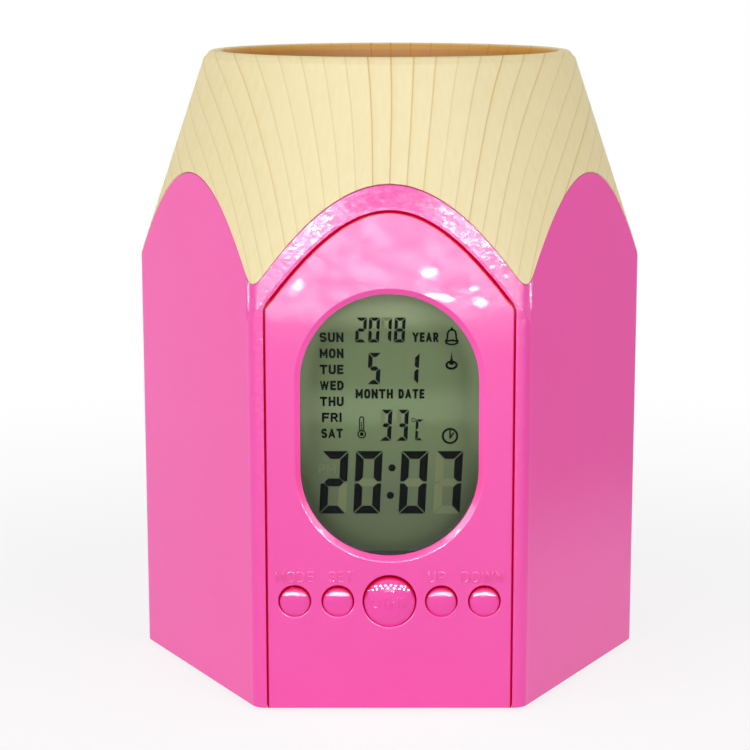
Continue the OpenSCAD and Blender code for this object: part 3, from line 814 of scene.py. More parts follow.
def makeWoodCollar():
    top, r = pencil["height"], pencil["rimRound"]
    mouth, rim = pencil["mouthRadius"], pencil["rimRadius"]
    hollow, throat, wall = top - pencil["hollow"], pencil["throat"], pencil["throatWall"]
    skirt, gap, edge = pencil["skirt"], pencil["gap"], pencil["stepRound"]
    lap = pencil["apothem"] - pencil["wall"] - gap

    def arc(centre, first, last, step):
        turns = [math.radians(angle) for angle in range(first, last, -step)]
        return [(centre + r * math.cos(turn), top - r + r * math.sin(turn)) for turn in turns]

    rimLine = [(mouth, throat)] + arc(mouth + r, 180, 89, 15) + arc(rim - r, 90, 19, 14)
    rimLine.append((coneRadius(top - r), top - r))
    inner = coneRadius(hollow) - pencil["shoulder"]
    inside = ((inner, hollow), (mouth + wall, hollow), (mouth + wall, throat))
    count = len(rimLine)

    def place(i, j):
        # rows run out over the rim, down the cone, round the step and the skirt, and back up inside
        x, y, u = hexPoint(pencil["apothem"], pencil["corner"], i)
        reach = math.hypot(x, y)
        ledge = scallopHeight(u) + gap
        row = j - count
        if row < 0:
            radius, z = rimLine[j]
        elif row < 3:
            meet = top - (reach - rim) / pencil["slope"]
            z = max(meet, ledge + edge) if row == 0 else (ledge + edge if row == 1 else ledge)
            radius = min(coneRadius(z), reach) - (edge if row == 2 else 0)
        elif row < 6:
            x, y, u = hexPoint(lap - (pencil["skirtWall"] if row == 5 else 0), pencil["innerCorner"], i)
            reach = math.hypot(x, y)
            radius, z = reach, scallopHeight(u) + gap if row == 3 else skirt
        else:
            radius, z = inside[row - 6] if row < 9 else rimLine[0]
        return x * radius / reach, y * radius / reach, z

    collar = wrap("collar", hexagon["columns"], count + 9, place)
    cutAway(collar, outline("pocket", archOutline(1, skirt - 2), front["y"] - 1, pencil["pocketBack"]))
    clean(collar)
    dress(collar, "woodCollar", "housing", woodFinish(), ["wood_collar"])


def frontOutline(grow):
    # the whole edge of the front, with even steps along its straight sides
    low = pencil["low"] - grow
    line = archOutline(grow, low)
    steps = front["sideSteps"]

    def share(a, b):
        return [(a[0] + (b[0] - a[0]) * j / steps, a[1] + (b[1] - a[1]) * j / steps) for j in range(steps)]

    return share(line[0], line[1]) + line[1:-2] + share(line[-2], line[-1]) + share(line[-1], line[0])


def onWindow(point, grow):
    # where the line from the window's middle to a point crosses the window's edge, moved out by grow
    middle = Vector((0, front["windowMiddle"]))
    way = (Vector(point) - middle).normalized()
    radius = front["windowWidth"] / 2 + grow
    lift = (front["windowHeight"] - front["windowWidth"]) / 2
    reach = radius / max(abs(way.x), 0.001)
    if reach * abs(way.y) > lift:
        reach = abs(way.y) * lift + math.sqrt(radius ** 2 - (lift * way.x) ** 2)
    spot = middle + way * reach
    return spot.x, spot.y


def frontLean(x, z):
    # the panel is gently rounded: it falls back at its sides and towards the top of the arch
    rise = max(z - front["leanFrom"], 0) / (front["top"] - front["leanFrom"])
    return front["sideLean"] * (2 * x / front["width"]) ** 2 + front["topLean"] * rise ** 1.5


def makeClockFront():
    y, thick, bevel = front["y"], front["thick"], front["bevel"]
    round1, round2 = front["edgeRound"], front["ringRound"]
    come = 0.29  # how far a rounded edge has come in at half its turn
    outer, inset = frontOutline(0), frontOutline(-round1)
    middle = [tuple(p * come + q * (1 - come) for p, q in zip(a, b)) for a, b in zip(inset, outer)]
    ledge = [(x, max(z, pencil["low"] - 0.1)) for x, z in frontOutline(front["ledge"])]
    seat, deep, step = thick - front["lens"], front["wallDepth"], front["ledgeDepth"]

    def level(points, depth, lean=1):
        return [(x, y + depth + lean * frontLean(x, z), z) for x, z in points]

    def window(grow, depth, lean=0):
        return level([onWindow(point, grow) for point in outer], depth, lean)

    levels = [level(ledge, thick, 0), level(ledge, step, 0), level(outer, step, 0)]
    levels += [level(outer, round1), level(middle, come * round1)]
    inner = [onWindow(point, bevel + round2) for point in outer]
    for j in range(front["faceRows"] + 1):
        share = j / front["faceRows"]
        levels.append(level([Vector(a).lerp(Vector(b), share) for a, b in zip(inset, inner)], 0))
    levels += [window(bevel + grow * round2, depth * round2, 1) for grow, depth in front["ringTurn"]]
    foot, (grow, drop) = front["bevelDepth"], front["bevelTurn"]
    levels += [window(grow, foot), window(0, foot + drop), window(0, seat)]
    levels += [window(front["lensLap"], seat), window(front["lensLap"], thick)]
    inside, outside = front["wallInside"], front["wallOutside"]
    for distance, depth in ((inside, thick), (inside, deep), (outside, deep), (outside, thick)):
        levels.append(level(frontOutline(-distance), depth, 0))
    plate = wrap("plate", len(outer), len(levels), lambda i, j: levels[j % len(levels)][i])
    holes = [(x, holeRadius(name)) for name, x in buttonRow.items()]
    for x, radius in holes:
        hole = circle(x, front["buttonHeight"], radius)
        guide = circle(x, front["buttonHeight"], radius - front["guide"])
        cutAway(plate, outline("hole", hole, y - 1, y + front["holeDepth"]))
        cutAway(plate, outline("guide", guide, y, y + front["guideDepth"]))
    clean(plate)
    for x, radius in holes:
        around = near(circle(x, front["buttonHeight"], radius), closed=True)
        roundEdges(plate, lambda spot: spot.y < y + 1 and around(spot), front["holeRound"], 3)
    dress(plate, "clockFront", "housing", pinkFront, ["clock_fascia"])


buttonLook = {
    "gap": 0.27,
    "sag": 0.24,
    "rim": 0.24,
    "smallCrown": 0.6,
    "largeCrown": 0.9,
    "edgeDrop": 0.5,
    "power": 2.6,
    "depth": 4.6,
    "stem": 1.6,
    "steps": 16,
    "wear": 0.9,
    "wornDepth": (0.2, 0.35),
    "wornRise": (0, 1),
}


def makeButton(name, x):
    # a cap that is flatter in its middle and steeper towards its rim
    large = name == "light"
    radius = holeRadius(name) - buttonLook["gap"]
    crown = buttonLook["largeCrown"] if large else buttonLook["smallCrown"]
    edge = front["y"] + buttonLook["edgeDrop"]
    steps, stem, rim = buttonLook["steps"], buttonLook["stem"], buttonLook["rim"]
    profile = []
    for j in range(steps + 1):
        share = math.sin(math.radians(90 * j / steps))
        profile.append((radius * share, edge - crown * (1 - share ** buttonLook["power"])))
    back = edge + buttonLook["depth"]
    profile += [(radius, edge + rim), (stem, edge + rim), (stem, back), (0, back)]
    cap = turned(name, profile, 64, (x, 0, front["buttonHeight"] - buttonLook["sag"]))
    dress(cap, name + "Button", name + "_key", pinkButton, [name + "_button"])


pinkShell = pinkFinish("pinkShell", upperRelief(True), bodyPaintedShade, worn=bandWear)
pinkFront = pinkFinish("pinkFront", upperRelief(False), frontPaintedShade)
pinkButton = pinkFinish("pinkButton", deep=buttonPaintedShade, ripple=0.3, polish=0.6, worn=buttonWorn, ior=1.14)
makePencilBody()
print("body made")
makeWoodCollar()
print("collar made")
makeClockFront()
print("front made")
for name, x in buttonRow.items():
    makeButton(name, x)
print("buttons made")


# marks of the display, on the plane of its polariser
lcd = {
    "displayInk": (tint(3, 4, 6), tint(9, 10, 12), 0.4),
    "displayGhost": (tint(122, 128, 96), tint(121, 130, 96), 0.5),
    "thick": 0.02,
    "lean": math.tan(math.radians(2.9)),
    # foot, height, width, bar and gap of each row of digits, then the digits with their left edges
    "digits": (
        (36.91, 11.94, 4.95, 1.5, 0.13, (("2", -13.12), ("0", -6.79), ("0", 1.66), ("7", 8.11))),
        (69.27, 4.65, 2.0, 0.62, 0.08, (("2", -6.35), ("0", -3.95), ("1", -1.75), ("8", 0.75))),
        (61.45, 5.9, 2.35, 0.8, 0.1, (("5", -4.15), ("1", 2.9))),
        (50.78, 5.9, 2.1, 0.75, 0.1, (("3", -1.85), ("3", 1.2))),
        (50.86, 4.0, 1.4, 0.5, 0.07, (("C", 4.7),)),
    ),
    "colon": ((0.45, 45.65), (0.15, 40.4)),
    "colonRadius": 0.68,
    "degree": (4.42, 54.75, 0.4, 0.15),
    # left edges and widths of the words
    "days": (
        ("SUN", -12.86, 4.4), ("MON", -12.86, 4.4), ("TUE", -12.86, 4.4), ("WED", -12.86, 4.4),
        ("THU", -12.86, 4.4), ("FRI", -12.5, 3.7), ("SAT", -12.65, 4.0),
    ),
    "dayTop": 69.36,
    "dayPitch": 3.007,
    "words": (("YEAR", 4.21, 69.36, 4.77), ("MONTH", -6.28, 58.78, 6.91), ("DATE", 1.65, 58.78, 4.79)),
    "wordHeight": 1.78,
    "wordBold": 0.42,
    "faintWord": ("PM", -13.2, 44.6, 3.2, 1.7, 0.3),
    "bell": (11.42, 68.75, 2.5, 3.3),
    "lamp": (11.4, 65.05),
    "dial": (11.2, 51.7),
    "bulb": (-5.15, 52.05),
}
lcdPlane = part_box("front_polariser")[0].y / mm - 0.03
digitBars = {
    "0": "abcdef",
    "1": "bc",
    "2": "abged",
    "3": "abgcd",
    "5": "afgcd",
    "7": "abc",
    "8": "abcdefg",
    "C": "afed",
}


def barShapes(width, height, bar, gap):
    # the seven bars of a digit as outlines, with mitred ends
    w, h, t, g = width, height, bar, gap
    m = h / 2
    n = 1.6 * g
    top = [(g, h), (w - g, h), (w - g - t, h - t), (g + t, h - t)]
    right = [(w, h - g), (w, m + n), (w - t / 2, m + n), (w - t, m + t / 2 + n), (w - t, h - t - g)]
    left = [(w - x, z) for x, z in right]
    tip, end = 0.35 * t + g, 0.85 * t + g
    middle = [(tip, m), (end, m + t / 2), (w - end, m + t / 2), (w - tip, m)]
    middle += [(w - end, m - t / 2), (end, m - t / 2)]
    bars = {"a": top, "b": right, "f": left, "g": middle}
    for upper, lower in ("ad", "bc", "fe"):
        bars[lower] = [(x, h - z) for x, z in bars[upper]]
    return {key: bars[key] for key in sorted(bars)}


def flat(points):
    return outline("mark", points, lcdPlane, lcdPlane)


def makeDigit(sign, left, low, width, height, bar, gap, marks, ghosts):
    # the bars of a digit, dark or faint; a 2 has no faint bar at its upper left
    for key, points in barShapes(width, height, bar, gap).items():
        placed = [(left + x + z * lcd["lean"], low + z) for x, z in points]
        if key in digitBars[sign]:
            marks.append(flat(placed))
        elif (sign, key) != ("2", "f"):
            ghosts.append(flat(placed))


# lines of each letter in a box one wide and one high, and the boxes of odd width
letterLines = {
    "A": [((0, 0), (0.5, 1)), ((1, 0), (0.5, 1)), ((0.2, 0.24), (0.8, 0.24))],
    "D": [((0, 0), (0, 1), (0.6, 1), (1, 0.75), (1, 0.25), (0.6, 0), (0, 0))],
    "E": [((1, 1), (0, 1), (0, 0), (1, 0)), ((0, 0.52), (0.85, 0.52))],
    "F": [((1, 1), (0, 1), (0, 0)), ((0, 0.5), (0.85, 0.5))],
    "G": [
        ((1, 0.8), (0.75, 1), (0.25, 1), (0, 0.78), (0, 0.22), (0.25, 0), (1, 0), (1, 0.45), (0.55, 0.45)),
    ],
    "H": [((0, 0), (0, 1)), ((1, 0), (1, 1)), ((0, 0.5), (1, 0.5))],
    "I": [((0.5, 0), (0.5, 1))],
    "L": [((0, 1), (0, 0), (1, 0))],
    "M": [((0, 0), (0, 1)), ((0, 1), (0.5, 0.3)), ((0.5, 0.3), (1, 1)), ((1, 1), (1, 0))],
    "N": [((0, 0), (0, 1)), ((0, 1), (1, 0)), ((1, 0), (1, 1))],
    "O": [
        ((0.25, 0), (0.75, 0), (1, 0.22), (1, 0.78), (0.75, 1), (0.25, 1), (0, 0.78), (0, 0.22), (0.25, 0)),
    ],
    "P": [((0, 0), (0, 1), (0.7, 1), (1, 0.82), (1, 0.62), (0.7, 0.45), (0, 0.45))],
    "R": [((0, 0), (0, 1), (0.7, 1), (1, 0.84), (1, 0.64), (0.7, 0.48), (0, 0.48)), ((0.55, 0.48), (1, 0))],
    "S": [
        ((1, 0.78), (0.78, 1), (0.22, 1), (0, 0.82), (0, 0.68), (0.2, 0.54))
        + ((0.8, 0.46), (1, 0.32), (1, 0.18), (0.78, 0), (0.22, 0), (0, 0.22))
    ],
    "T": [((0, 1), (1, 1)), ((0.5, 1), (0.5, 0))],
    "U": [((0, 1), (0, 0.2), (0.25, 0), (0.75, 0), (1, 0.2), (1, 1))],
    "W": [((0, 1), (0.25, 0)), ((0.25, 0), (0.5, 1)), ((0.5, 1), (0.75, 0)), ((0.75, 0), (1, 1))],
    "Y": [((0, 1), (0.5, 0.45)), ((0.5, 0.45), (1, 1)), ((0.5, 0.45), (0.5, 0))],
}
letterWidths = {"A": 1.25, "E": 0.85, "I": 0.1, "M": 1.3, "T": 1.1, "W": 1.7, "Y": 1.25}
letterBold = {"A": 0.88, "M": 0.92, "R": 0.95, "W": 0.8}


def stroke(points, width, plane, thick=0.0):
    # a line of even width through the points, mitred at its corners and square at upright or level ends
    line = [Vector(point) for point in points]
    closed = points[0] == points[-1]
    left, right = [], []
    for i, spot in enumerate(line):
        last = i + 1 == len(line)
        before = spot - line[i - 1] if i else (line[-1] - line[-2] if closed else line[1] - line[0])
        after = before if last and not closed else (line[1] - line[0] if last else line[i + 1] - spot)
        ahead = (before.normalized() + after.normalized()).normalized()
        if not closed and (i == 0 or last) and min(abs(ahead.x), abs(ahead.y)) < 0.01:
            spot = spot + ahead * width / 2 * (1 if last else -1)
        side = Vector((-ahead.y, ahead.x)) * width / 2 / max(ahead.dot(after.normalized()), 0.35)
        left.append(tuple(spot + side))
        right.append(tuple(spot - side))
    return outline("stroke", left + right[::-1], plane, plane + thick)


def slant(points, width, plane, thick=0.0):
    # a leaning line with level ends
    (x1, z1), (x2, z2) = sorted(points, key=lambda point: point[1])
    half = width / 2
    run = half * (x2 - x1) / (z2 - z1)
    corners = [(x1 - half - run, z1 - half), (x1 + half - run, z1 - half)]
    corners += [(x2 + half + run, z2 + half), (x2 - half + run, z2 + half)]
    return outline("slant", corners, plane, plane + thick)


def writeWord(text, left, low, width, height, bold, plane, thick=0.0, gap=0.22):
    # a word of strokes that fills a box on a plane facing the viewer
    wide = [letterWidths.get(letter, 1.0) for letter in text]
    unit = (width - len(text) * bold - (len(text) - 1) * gap) / sum(wide)
    pieces = []
    for letter, share in zip(text, wide):
        weight = bold * letterBold.get(letter, 1.0)
        for layer, line in enumerate(letterLines[letter]):
            foot = low + bold / 2
            points = [(left + bold / 2 + x * share * unit, foot + z * (height - bold)) for x, z in line]
            leaning = len(line) == 2 and line[0][0] != line[1][0] and line[0][1] != line[1][1]
            draw = slant if leaning else stroke
            pieces.append(draw(points, weight, plane - 0.004 * layer, thick))
        left += share * unit + bold + gap
    return pieces


def ring(x, z, radius, width, squash=1.0):
    # a flat ring: a disc that is inset and opened
    turns = [2 * math.pi * j / 40 for j in range(40)]
    piece = flat([(x + radius * math.cos(turn), z + squash * radius * math.sin(turn)) for turn in turns])
    edit(piece)
    bpy.ops.mesh.inset(thickness=width * mm)
    bpy.ops.mesh.delete(type="FACE")
    bpy.ops.object.mode_set(mode="OBJECT")
    return piece


def inkStroke(points, width):
    return stroke(points, width, lcdPlane)


def makeBell(x, z, width, height):
    w = width / 2
    dome = []
    for j in range(13):
        angle = math.pi * j / 12
        dome.append((x + 0.62 * w * math.cos(angle), z + 0.62 * height + 0.26 * height * math.sin(angle)))
    side = [(x + 0.95 * w, z + 0.2 * height), (x + 0.66 * w, z + 0.36 * height)]
    return [
        inkStroke(side + dome + [(2 * x - px, pz) for px, pz in reversed(side)], 0.34),
        ring(x, z + 0.16 * height, w, 0.32, 0.42),
        inkStroke([(x, z + 0.88 * height), (x, z + 0.95 * height)], 0.42),
        inkStroke([(x - 0.5 * w, z + 0.26 * height), (x + 0.3 * w, z + 0.31 * height)], 0.26),
    ]


def makeLampSign(x, z):
    needle = [(-0.42, 0.05), (0.42, 0.05), (0.12, 1.65), (0, 2.65), (-0.12, 1.65)]
    return [ring(x, z, 1.15, 0.44, 0.76), flat([(x + px, z + pz) for px, pz in needle])]


def makeDial(x, z):
    hub = (x, z - 0.35)
    return [
        ring(x, z, 1.54, 0.4),
        inkStroke([hub, (x, z + 1.05)], 0.3),
        inkStroke([hub, (x + 0.7, z + 0.65)], 0.28),
    ]


def makeThermometer(x, z):
    side = [(0.37, 0.65), (0.37, 2.9), (0.25, 3.2)]
    tube = [(x - px, z + pz) for px, pz in side] + [(x, z + 3.3)]
    tube += [(x + px, z + pz) for px, pz in reversed(side)]
    return [
        ring(x, z, 0.82, 0.24),
        flat(circle(x, z, 0.36, 16)),
        inkStroke(tube, 0.22),
        inkStroke([(x, z + 0.15), (x, z + 2.25)], 0.16),
    ]


def inkFinish(name, colour, second, roughness):
    paint = Paint(name)
    colour = paint.mix(paint.noise(0.5, 2), colour, second)
    return paint.finish(Base_Color=colour, Roughness=roughness, Specular_IOR_Level=0.03)


def makeDisplay():
    marks, ghosts = [], []
    for low, height, width, bar, gap, signs in lcd["digits"]:
        for sign, left in signs:
            makeDigit(sign, left, low, width, height, bar, gap, marks, ghosts)
    marks += [flat(circle(x, z, lcd["colonRadius"], 32)) for x, z in lcd["colon"]]
    marks.append(ring(*lcd["degree"]))
    words = [
        (day, x, lcd["dayTop"] - lcd["dayPitch"] * row, width)
        for row, (day, x, width) in enumerate(lcd["days"])
    ]
    for word, x, z, width in words + list(lcd["words"]):
        marks += writeWord(word, x, z, width, lcd["wordHeight"], lcd["wordBold"], lcdPlane)
    marks += makeBell(*lcd["bell"]) + makeLampSign(*lcd["lamp"]) + makeDial(*lcd["dial"])
    marks += makeThermometer(*lcd["bulb"])
    ghosts += writeWord(*lcd["faintWord"], lcdPlane)
    for pieces, name, look in (
        (marks, "displayMarks", "displayInk"),
        (ghosts, "displayGhosts", "displayGhost"),
    ):
        piece = join(pieces, name)
        change(piece, "SOLIDIFY", thickness=lcd["thick"] * mm, offset=0)
        finish = inkFinish(look, *lcd[look])
        dress(piece, name, "housing", finish, weighted=False)


makeDisplay()
print("display made")


# words moulded on the front and on the middle button: left edge, foot, width and height
labels = {
    "front": {
        "MODE": (-21.2, 25.0, 7.15, 2.1),
        "SET": (-11.25, 25.0, 4.5, 2.1),
        "UP": (7.15, 25.0, 3.2, 2.1),
        "DOWN": (13.35, 25.0, 7.7, 2.1),
    },
    "cap": {"LIGHT": (-3.5, 20.2, 6.9, 2.05)},
    "frontRise": 0.12,
    "capRise": 0.49,
    "bold": 0.26,
    "thick": 0.3,
    "gap": 0.42,
    "soft": 0.07,
}


def makeLabels(place, name, body, finish):
    pieces = []
    plane = front["y"] - labels[place + "Rise"]
    for text, (x, z, width, height) in labels[place].items():
        pieces += writeWord(text, x, z, width, height, labels["bold"], plane, labels["thick"], labels["gap"])
    piece = join(pieces, name)
    change(piece, "BEVEL", width=labels["soft"] * mm, segments=2, limit_method="ANGLE")
    if place == "cap":
        # laid on the curve of the cap
        middle = (front["buttonHeight"] - buttonLook["sag"]) * mm
        for corner in piece.data.vertices:
            share = math.hypot(corner.co.x, corner.co.z - middle) / (front["largeHole"] * mm)
            corner.co.y += buttonLook["largeCrown"] * share ** buttonLook["power"] * mm
    dress(piece, name, body, finish, weighted=False)


makeLabels("front", "buttonNames", "housing", pinkFront)
makeLabels("cap", "lightName", "light_key", pinkButton)
print("labels made")


clearLook = {"tone": (0.97, 0.98, 0.97, 1), "roughness": 0.03, "haze": (0.03, 3, 2), "ior": 1.09}


def clearFinish():
    paint = Paint("clearWindow")
    roughness = clearLook["roughness"] + paint.cloud(*clearLook["haze"])
    gloss = paint.add("BsdfGlossy", {}, {"Color": white, "Roughness": roughness})
    facing = paint.add("Fresnel", {}, {"IOR": clearLook["ior"]})
    return paint.output(paint.blend(facing, paint.clear(clearLook["tone"]), gloss))


filmToneAndPaintedLight = {
    "plain": tint(114, 130, 95),
    # painted light: top and side brighten the film where the window's rim shades it, band is a painted
    # reflection and edge a painted shade
    "top": tint(198, 216, 174),
    "band": tint(131, 147, 113),
    "low": tint(102, 114, 88),
    "edge": tint(62, 70, 54),
    "side": tint(156, 172, 132),
    "edgeWidth": (-3, 0.2),
    "lowFrom": (53, 42),
    "bandFrom": (53.4, 56),
    "bandTo": (58.5, 63, 1.0, 0.0),
    "topFrom": (71, 78),
    "sideFrom": (44, 56, 0.0, 0.8),
    "edgeFrom": (50, 40, 0.0, 0.3),
    "wander": (1.2, 12, 1),
    "grain": (0.12, 0.5, 2),
    "roughness": 0.38,
    "reflection": 0.02,
}


def displayFinish():
    # green film with painted light and shade: painted brightening at its top and upper sides, a painted
    # reflection in a soft band, painted shade at its lower edge, and darker low down
    paint = Paint("displayFilm")
    x, z = frontSpot(paint)[::2]
    edge = paint.ease(windowDistance(x, z), *filmToneAndPaintedLight["edgeWidth"])
    wander = z + paint.cloud(*filmToneAndPaintedLight["wander"])
    base = paint.mix(paint.ramp(wander, *filmToneAndPaintedLight["lowFrom"]), filmToneAndPaintedLight["plain"], filmToneAndPaintedLight["low"])
    band = paint.ease(wander, *filmToneAndPaintedLight["bandFrom"]) * paint.ease(wander, *filmToneAndPaintedLight["bandTo"])
    base = paint.mix(band, base, filmToneAndPaintedLight["band"])
    base = paint.mix(paint.ramp(z, *filmToneAndPaintedLight["topFrom"]), base, filmToneAndPaintedLight["top"])
    base = paint.mix(edge * paint.ramp(z, *filmToneAndPaintedLight["sideFrom"]), base, filmToneAndPaintedLight["side"])
    colour = paint.mix(edge * paint.ramp(z, *filmToneAndPaintedLight["edgeFrom"]), base, filmToneAndPaintedLight["edge"])
    grain = 1 - filmToneAndPaintedLight["grain"][0] / 2 + paint.cloud(*filmToneAndPaintedLight["grain"])
    colour = paint.add("VectorMath", {"operation": "SCALE"}, {0: colour, "Scale": grain})
    return paint.finish(
        Base_Color=colour, Roughness=filmToneAndPaintedLight["roughness"], Specular_IOR_Level=filmToneAndPaintedLight["reflection"],
    )


gasketLook = {
    "foot": tint(10, 11, 9),
    # painted light: the film's lit green laid on the foam's wall
    "plain": tint(66, 74, 56),
    "grey": tint(30, 34, 26),
    "footHeight": (30.6, 30.9),
    "slope": 0.25,
    "middle": 1.1,
    "grain": 0.3,
    "grainSize": 0.4,
    "relief": 0.02,
    "roughness": 0.9,
}


def gasketFinish():
    # black foam painted with the film's lit green, painted light so that the recess wall shows no dark band;
    # it keeps its black at the foot of the window
    paint = Paint("gasketFoam")
    back, z = frontSpot(paint)[1:]
    height = z + gasketLook["slope"] * (back - gasketLook["middle"])
    grain = paint.noise(gasketLook["grainSize"], 2)
    colour = paint.mix(paint.ramp(height, *gasketLook["footHeight"]), gasketLook["foot"], gasketLook["plain"])
    colour = paint.mix(gasketLook["grain"] * grain, colour, gasketLook["grey"])
    normal = paint.bump(grain, gasketLook["relief"])
    return paint.finish(Base_Color=colour, Roughness=gasketLook["roughness"], Normal=normal)


# nodes of each plain finish, its colour, roughness, grain, depth, change of tone and share of metal
plainLooks = {
    "zincSteel": (
        "base_screws module_screws spring_contacts plate_contacts",
        tint(196, 198, 202), 0.3, 0.6, 0.004, 0.05, 1.0,
    ),
    "creamCup": ("pen_cup", tint(232, 219, 184), 0.45, 0.8, 0.012, 0.04),
    "creamCover": ("module_cover", tint(230, 220, 196), 0.5, 0.8, 0.012, 0.04),
    "footRubber": ("rubber_feet", tint(32, 32, 34), 0.75, 0.5, 0.03, 0.1),
    "cellSleeve": ("battery_cells", tint(70, 82, 96), 0.3, 2, 0.004, 0.12, 0.6),
    "redLead": ("positive_lead", tint(178, 24, 22), 0.4, 1, 0.005, 0.06),
    "blackLead": ("negative_lead", tint(24, 24, 26), 0.4, 1, 0.005, 0.06),
    "frontGlass": ("lcd_front_glass", tint(120, 140, 112), 0.12, 3, 0.001, 0.04),
    "rearGlass": ("lcd_rear_glass", tint(112, 132, 106), 0.12, 3, 0.001, 0.04),
    "reflectorFilm": ("reflector_film", tint(190, 194, 186), 0.3, 0.4, 0.004, 0.04),
    "guideAcrylic": ("light_guide", tint(214, 226, 232), 0.08, 4, 0.001, 0.03),
    "ledLens": ("backlight_leds", tint(240, 232, 170), 0.2, 1, 0.003, 0.06),
    "whiteHolder": ("lcd_holder", tint(228, 228, 224), 0.45, 0.8, 0.01, 0.03),
    "stripRubber": ("zebra_strips", tint(84, 84, 90), 0.7, 0.3, 0.02, 0.15),
    "boardLaminate": ("main_board", tint(22, 96, 52), 0.3, 1.2, 0.01, 0.12),
    "chipEpoxy": ("clock_chip", tint(18, 18, 20), 0.22, 2, 0.02, 0.1),
    "crystalCan": ("quartz_crystal", tint(204, 204, 208), 0.25, 0.5, 0.003, 0.05, 1.0),
    "beadGlaze": ("thermistor", tint(48, 104, 168), 0.25, 0.8, 0.01, 0.1),
    "buzzerCase": ("alarm_buzzer", tint(22, 22, 24), 0.5, 0.7, 0.02, 0.1),
    "partCeramic": ("board_parts", tint(158, 132, 96), 0.4, 0.6, 0.01, 0.1),
    "switchCase": ("switch_bodies", tint(26, 26, 28), 0.45, 0.7, 0.01, 0.1),
    "plungerWhite": (
        " ".join(name + "_plunger" for name in buttonRow),
        tint(232, 232, 230), 0.4, 0.6, 0.006, 0.03,
    ),
}


def dressNodes():
    pinkBase = pinkFinish("pinkBase")
    finishes = {
        "base_plate": pinkBase,
        "battery_door": pinkBase,
        "display_window": clearFinish(),
        "front_polariser": displayFinish(),
        "lcd_gasket": gasketFinish(),
    }
    for finish, (names, *look) in plainLooks.items():
        finishes.update(dict.fromkeys(names.split(), plainFinish(finish, *look)))
    for name, node in nodes.items():
        if not node.hide_render:
            node.data.materials.clear()
            node.data.materials.append(finishes[name])


dressNodes()
print("nodes dressed")


# studio
studio = {
    "ambient": 0.4,
    "floorWidth": 6.0,
    "floor": tint(232, 232, 232),
    "rightShade": 0.5,
    "rightFrom": (0.08, 0.2),
    "shadowReach": (0.05, 0.3, 0.8, 1.0),
    "keyPlace": (0.62, -0.86, 0.68),
    "aim": (0, 0, 0.06),
    "keySize": (0.4, 0.4),
    "keyPower": 3.45,
    "bandSize": (0.22, 0.3),
    "bandPower": 3.5,
    "boxPlace": (1.0, -0.5, 0.5),
    "boxSize": (0.5, 0.6),
    "leftPower": 4.9,
    "rightPower": 2.9,
    "stripPlace": (0, -0.6, 0.5),
    "stripAim": (0, 0, 0.05),
    "stripSize": (1.6, 0.05),
    "stripPower": 9.0,
}


def makeFloor():
    # white, with the shadow of what stands on it, and clear when looked at from below
    deselect()
    bpy.ops.mesh.primitive_circle_add(vertices=96, radius=studio["floorWidth"] / 2, fill_type="NGON")
    floor = bpy.context.object
    floor.name = "studioFloor"
    paint = Paint("studioFloor")
    glossy = paint.path("Glossy")
    path = paint.path("Camera") + glossy + paint.path("Transmission")
    plain = paint.add("BsdfDiffuse", {}, {"Color": studio["floor"]})
    right = paint.ease(paint.axes()[0], *studio["rightFrom"]) * glossy
    glow = paint.glow(1 - studio["rightShade"] * right)
    distance = paint.add("VectorMath", {"operation": "LENGTH"}, {0: paint.place()}, output="Value")
    far = paint.ease(distance, *studio["shadowReach"])
    above = paint.blend(far * path, plain, glow)
    under = paint.add("NewGeometry", output="Backfacing")
    floor.data.materials.append(paint.output(paint.blend(under, above, paint.clear())))


def makeWorld():
    # white where it is seen or mirrored, a plain level of light elsewhere
    world = bpy.data.worlds.new("studio")
    paint = Paint("studio", world)
    path = (paint.path("Camera") + paint.path("Glossy")).clamped()
    seen = paint.add("Background", {}, {"Color": white, "Strength": 1.0})
    lit = paint.add("Background", {}, {"Color": white, "Strength": studio["ambient"]})
    paint.output(paint.blend(path, lit, seen), "OutputWorld")
    bpy.context.scene.world = world


def addLamp(name, place, aim, size, power, mirrored=False):
    # an area lamp; a mirrored one is only seen as a reflection and lights nothing
    deselect()
    bpy.ops.object.light_add(type="AREA", location=place)
    lamp = bpy.context.object
    lamp.name = name
    lamp.data.shape = "RECTANGLE"
    lamp.data.size, lamp.data.size_y = size
    lamp.data.energy = power
    lamp.rotation_euler = (Vector(aim) - Vector(place)).to_track_quat("-Z", "Y").to_euler()
    lamp.visible_camera = False
    lamp.visible_diffuse = not mirrored
    return lamp


ledBar = {
    "radius": 1.0,
    "reach": 46,
    "lamps": 10,
    "rows": (15, 8.5),
    "drop": 2.5,
    "centre": 0.021,
    "aim": (0, 0, 0.03),
    "size": (0.056, 0.056),
    "power": 1.0,
}


def makeLedBar():
    # two curved rows of small lamps in front, which glint on the buttons
    radius = ledBar["radius"]
    for row, height in enumerate(ledBar["rows"]):
        for j in range(ledBar["lamps"]):
            share = 2 * (j + 0.5 * row) / (ledBar["lamps"] - 0.5) - 1
            turn = math.radians(ledBar["reach"] * share)
            rise = radius * math.tan(math.radians(height - ledBar["drop"] * share * share))
            place = (radius * math.sin(turn), -radius * math.cos(turn), ledBar["centre"] + rise)
            addLamp("led", place, ledBar["aim"], ledBar["size"], ledBar["power"], True)


# bright marks on the upper front: x, z, width and height of small lamps behind the camera
glints = {
    "distance": 0.6,
    "places": (
        (-0.047, 0.0475, 0.003, 0.003),
        (0.019, 0.0585, 0.007, 0.002),
        (0.04, 0.049, 0.004, 0.002),
        (0.048, 0.034, 0.004, 0.004),
        (0.024, 0.037, 0.02, 0.0015),
    ),
    "radiance": 110,
}


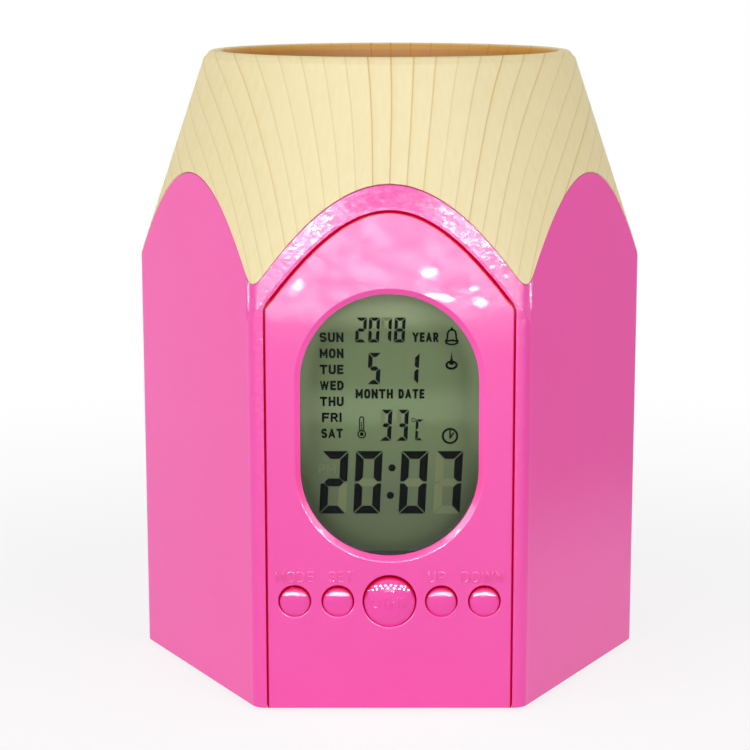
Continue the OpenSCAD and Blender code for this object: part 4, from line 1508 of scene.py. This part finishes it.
def makeGlints():
    for x, z, width, height in glints["places"]:
        power = glints["radiance"] * math.pi * width * height
        addLamp("glint", (x, -glints["distance"], z), (x, 0, z), (width, height), power, True)


hazeCard = {
    "distance": 0.62,
    "width": 0.16,
    "height": 0.12,
    "low": 0.005,
    "strength": 6.2,
    "cloudSize": 9,
    "cloudRange": (0.36, 0.68, 0.3, 1.6),
    "fadeIn": (5, 35),
    "fadeOut": (85, 120, 1.0, 0.0),
}


def makeHazeCard():
    # a mottled bright card in front of the object that only glossy surfaces mirror
    deselect()
    bpy.ops.mesh.primitive_plane_add(size=1, rotation=(math.radians(90), 0, 0))
    card = bpy.context.object
    card.name = "hazeCard"
    card.scale = (hazeCard["width"], hazeCard["height"], 1)
    card.location = (0, -hazeCard["distance"], hazeCard["height"] / 2 + hazeCard["low"])
    bpy.ops.object.transform_apply()
    paint = Paint("hazeCard")
    z = paint.axes()[2] / mm
    cloud = paint.ease(paint.noise(hazeCard["cloudSize"], 6), *hazeCard["cloudRange"])
    fade = paint.ease(z, *hazeCard["fadeIn"]) * paint.ease(z, *hazeCard["fadeOut"])
    glow = paint.glow(hazeCard["strength"] * (cloud * fade))
    shown = paint.path("Glossy") * fade
    card.data.materials.append(paint.output(paint.blend(shown, paint.clear(), glow)))
    card.visible_camera = False
    card.visible_diffuse = False
    card.visible_shadow = False


def makeLamps():
    aim = studio["aim"]
    for side in (-1, 1):
        x, y, z = studio["keyPlace"]
        key = addLamp("key", (side * x, y, z), aim, studio["keySize"], studio["keyPower"])
        key.visible_glossy = False
        addLamp("bandGlow", (side * x, y, z), aim, studio["bandSize"], studio["bandPower"], True)
    x, y, z = studio["boxPlace"]
    addLamp("leftBox", (-x, y, z), aim, studio["boxSize"], studio["leftPower"])
    addLamp("rightBox", (x, y, z), aim, studio["boxSize"], studio["rightPower"])
    strip = [studio["strip" + part] for part in ("Place", "Aim", "Size", "Power")]
    addLamp("edgeStrip", *strip, True)


makeWorld()
makeFloor()
makeLedBar()
makeGlints()
makeHazeCard()
makeLamps()
print("studio lit")
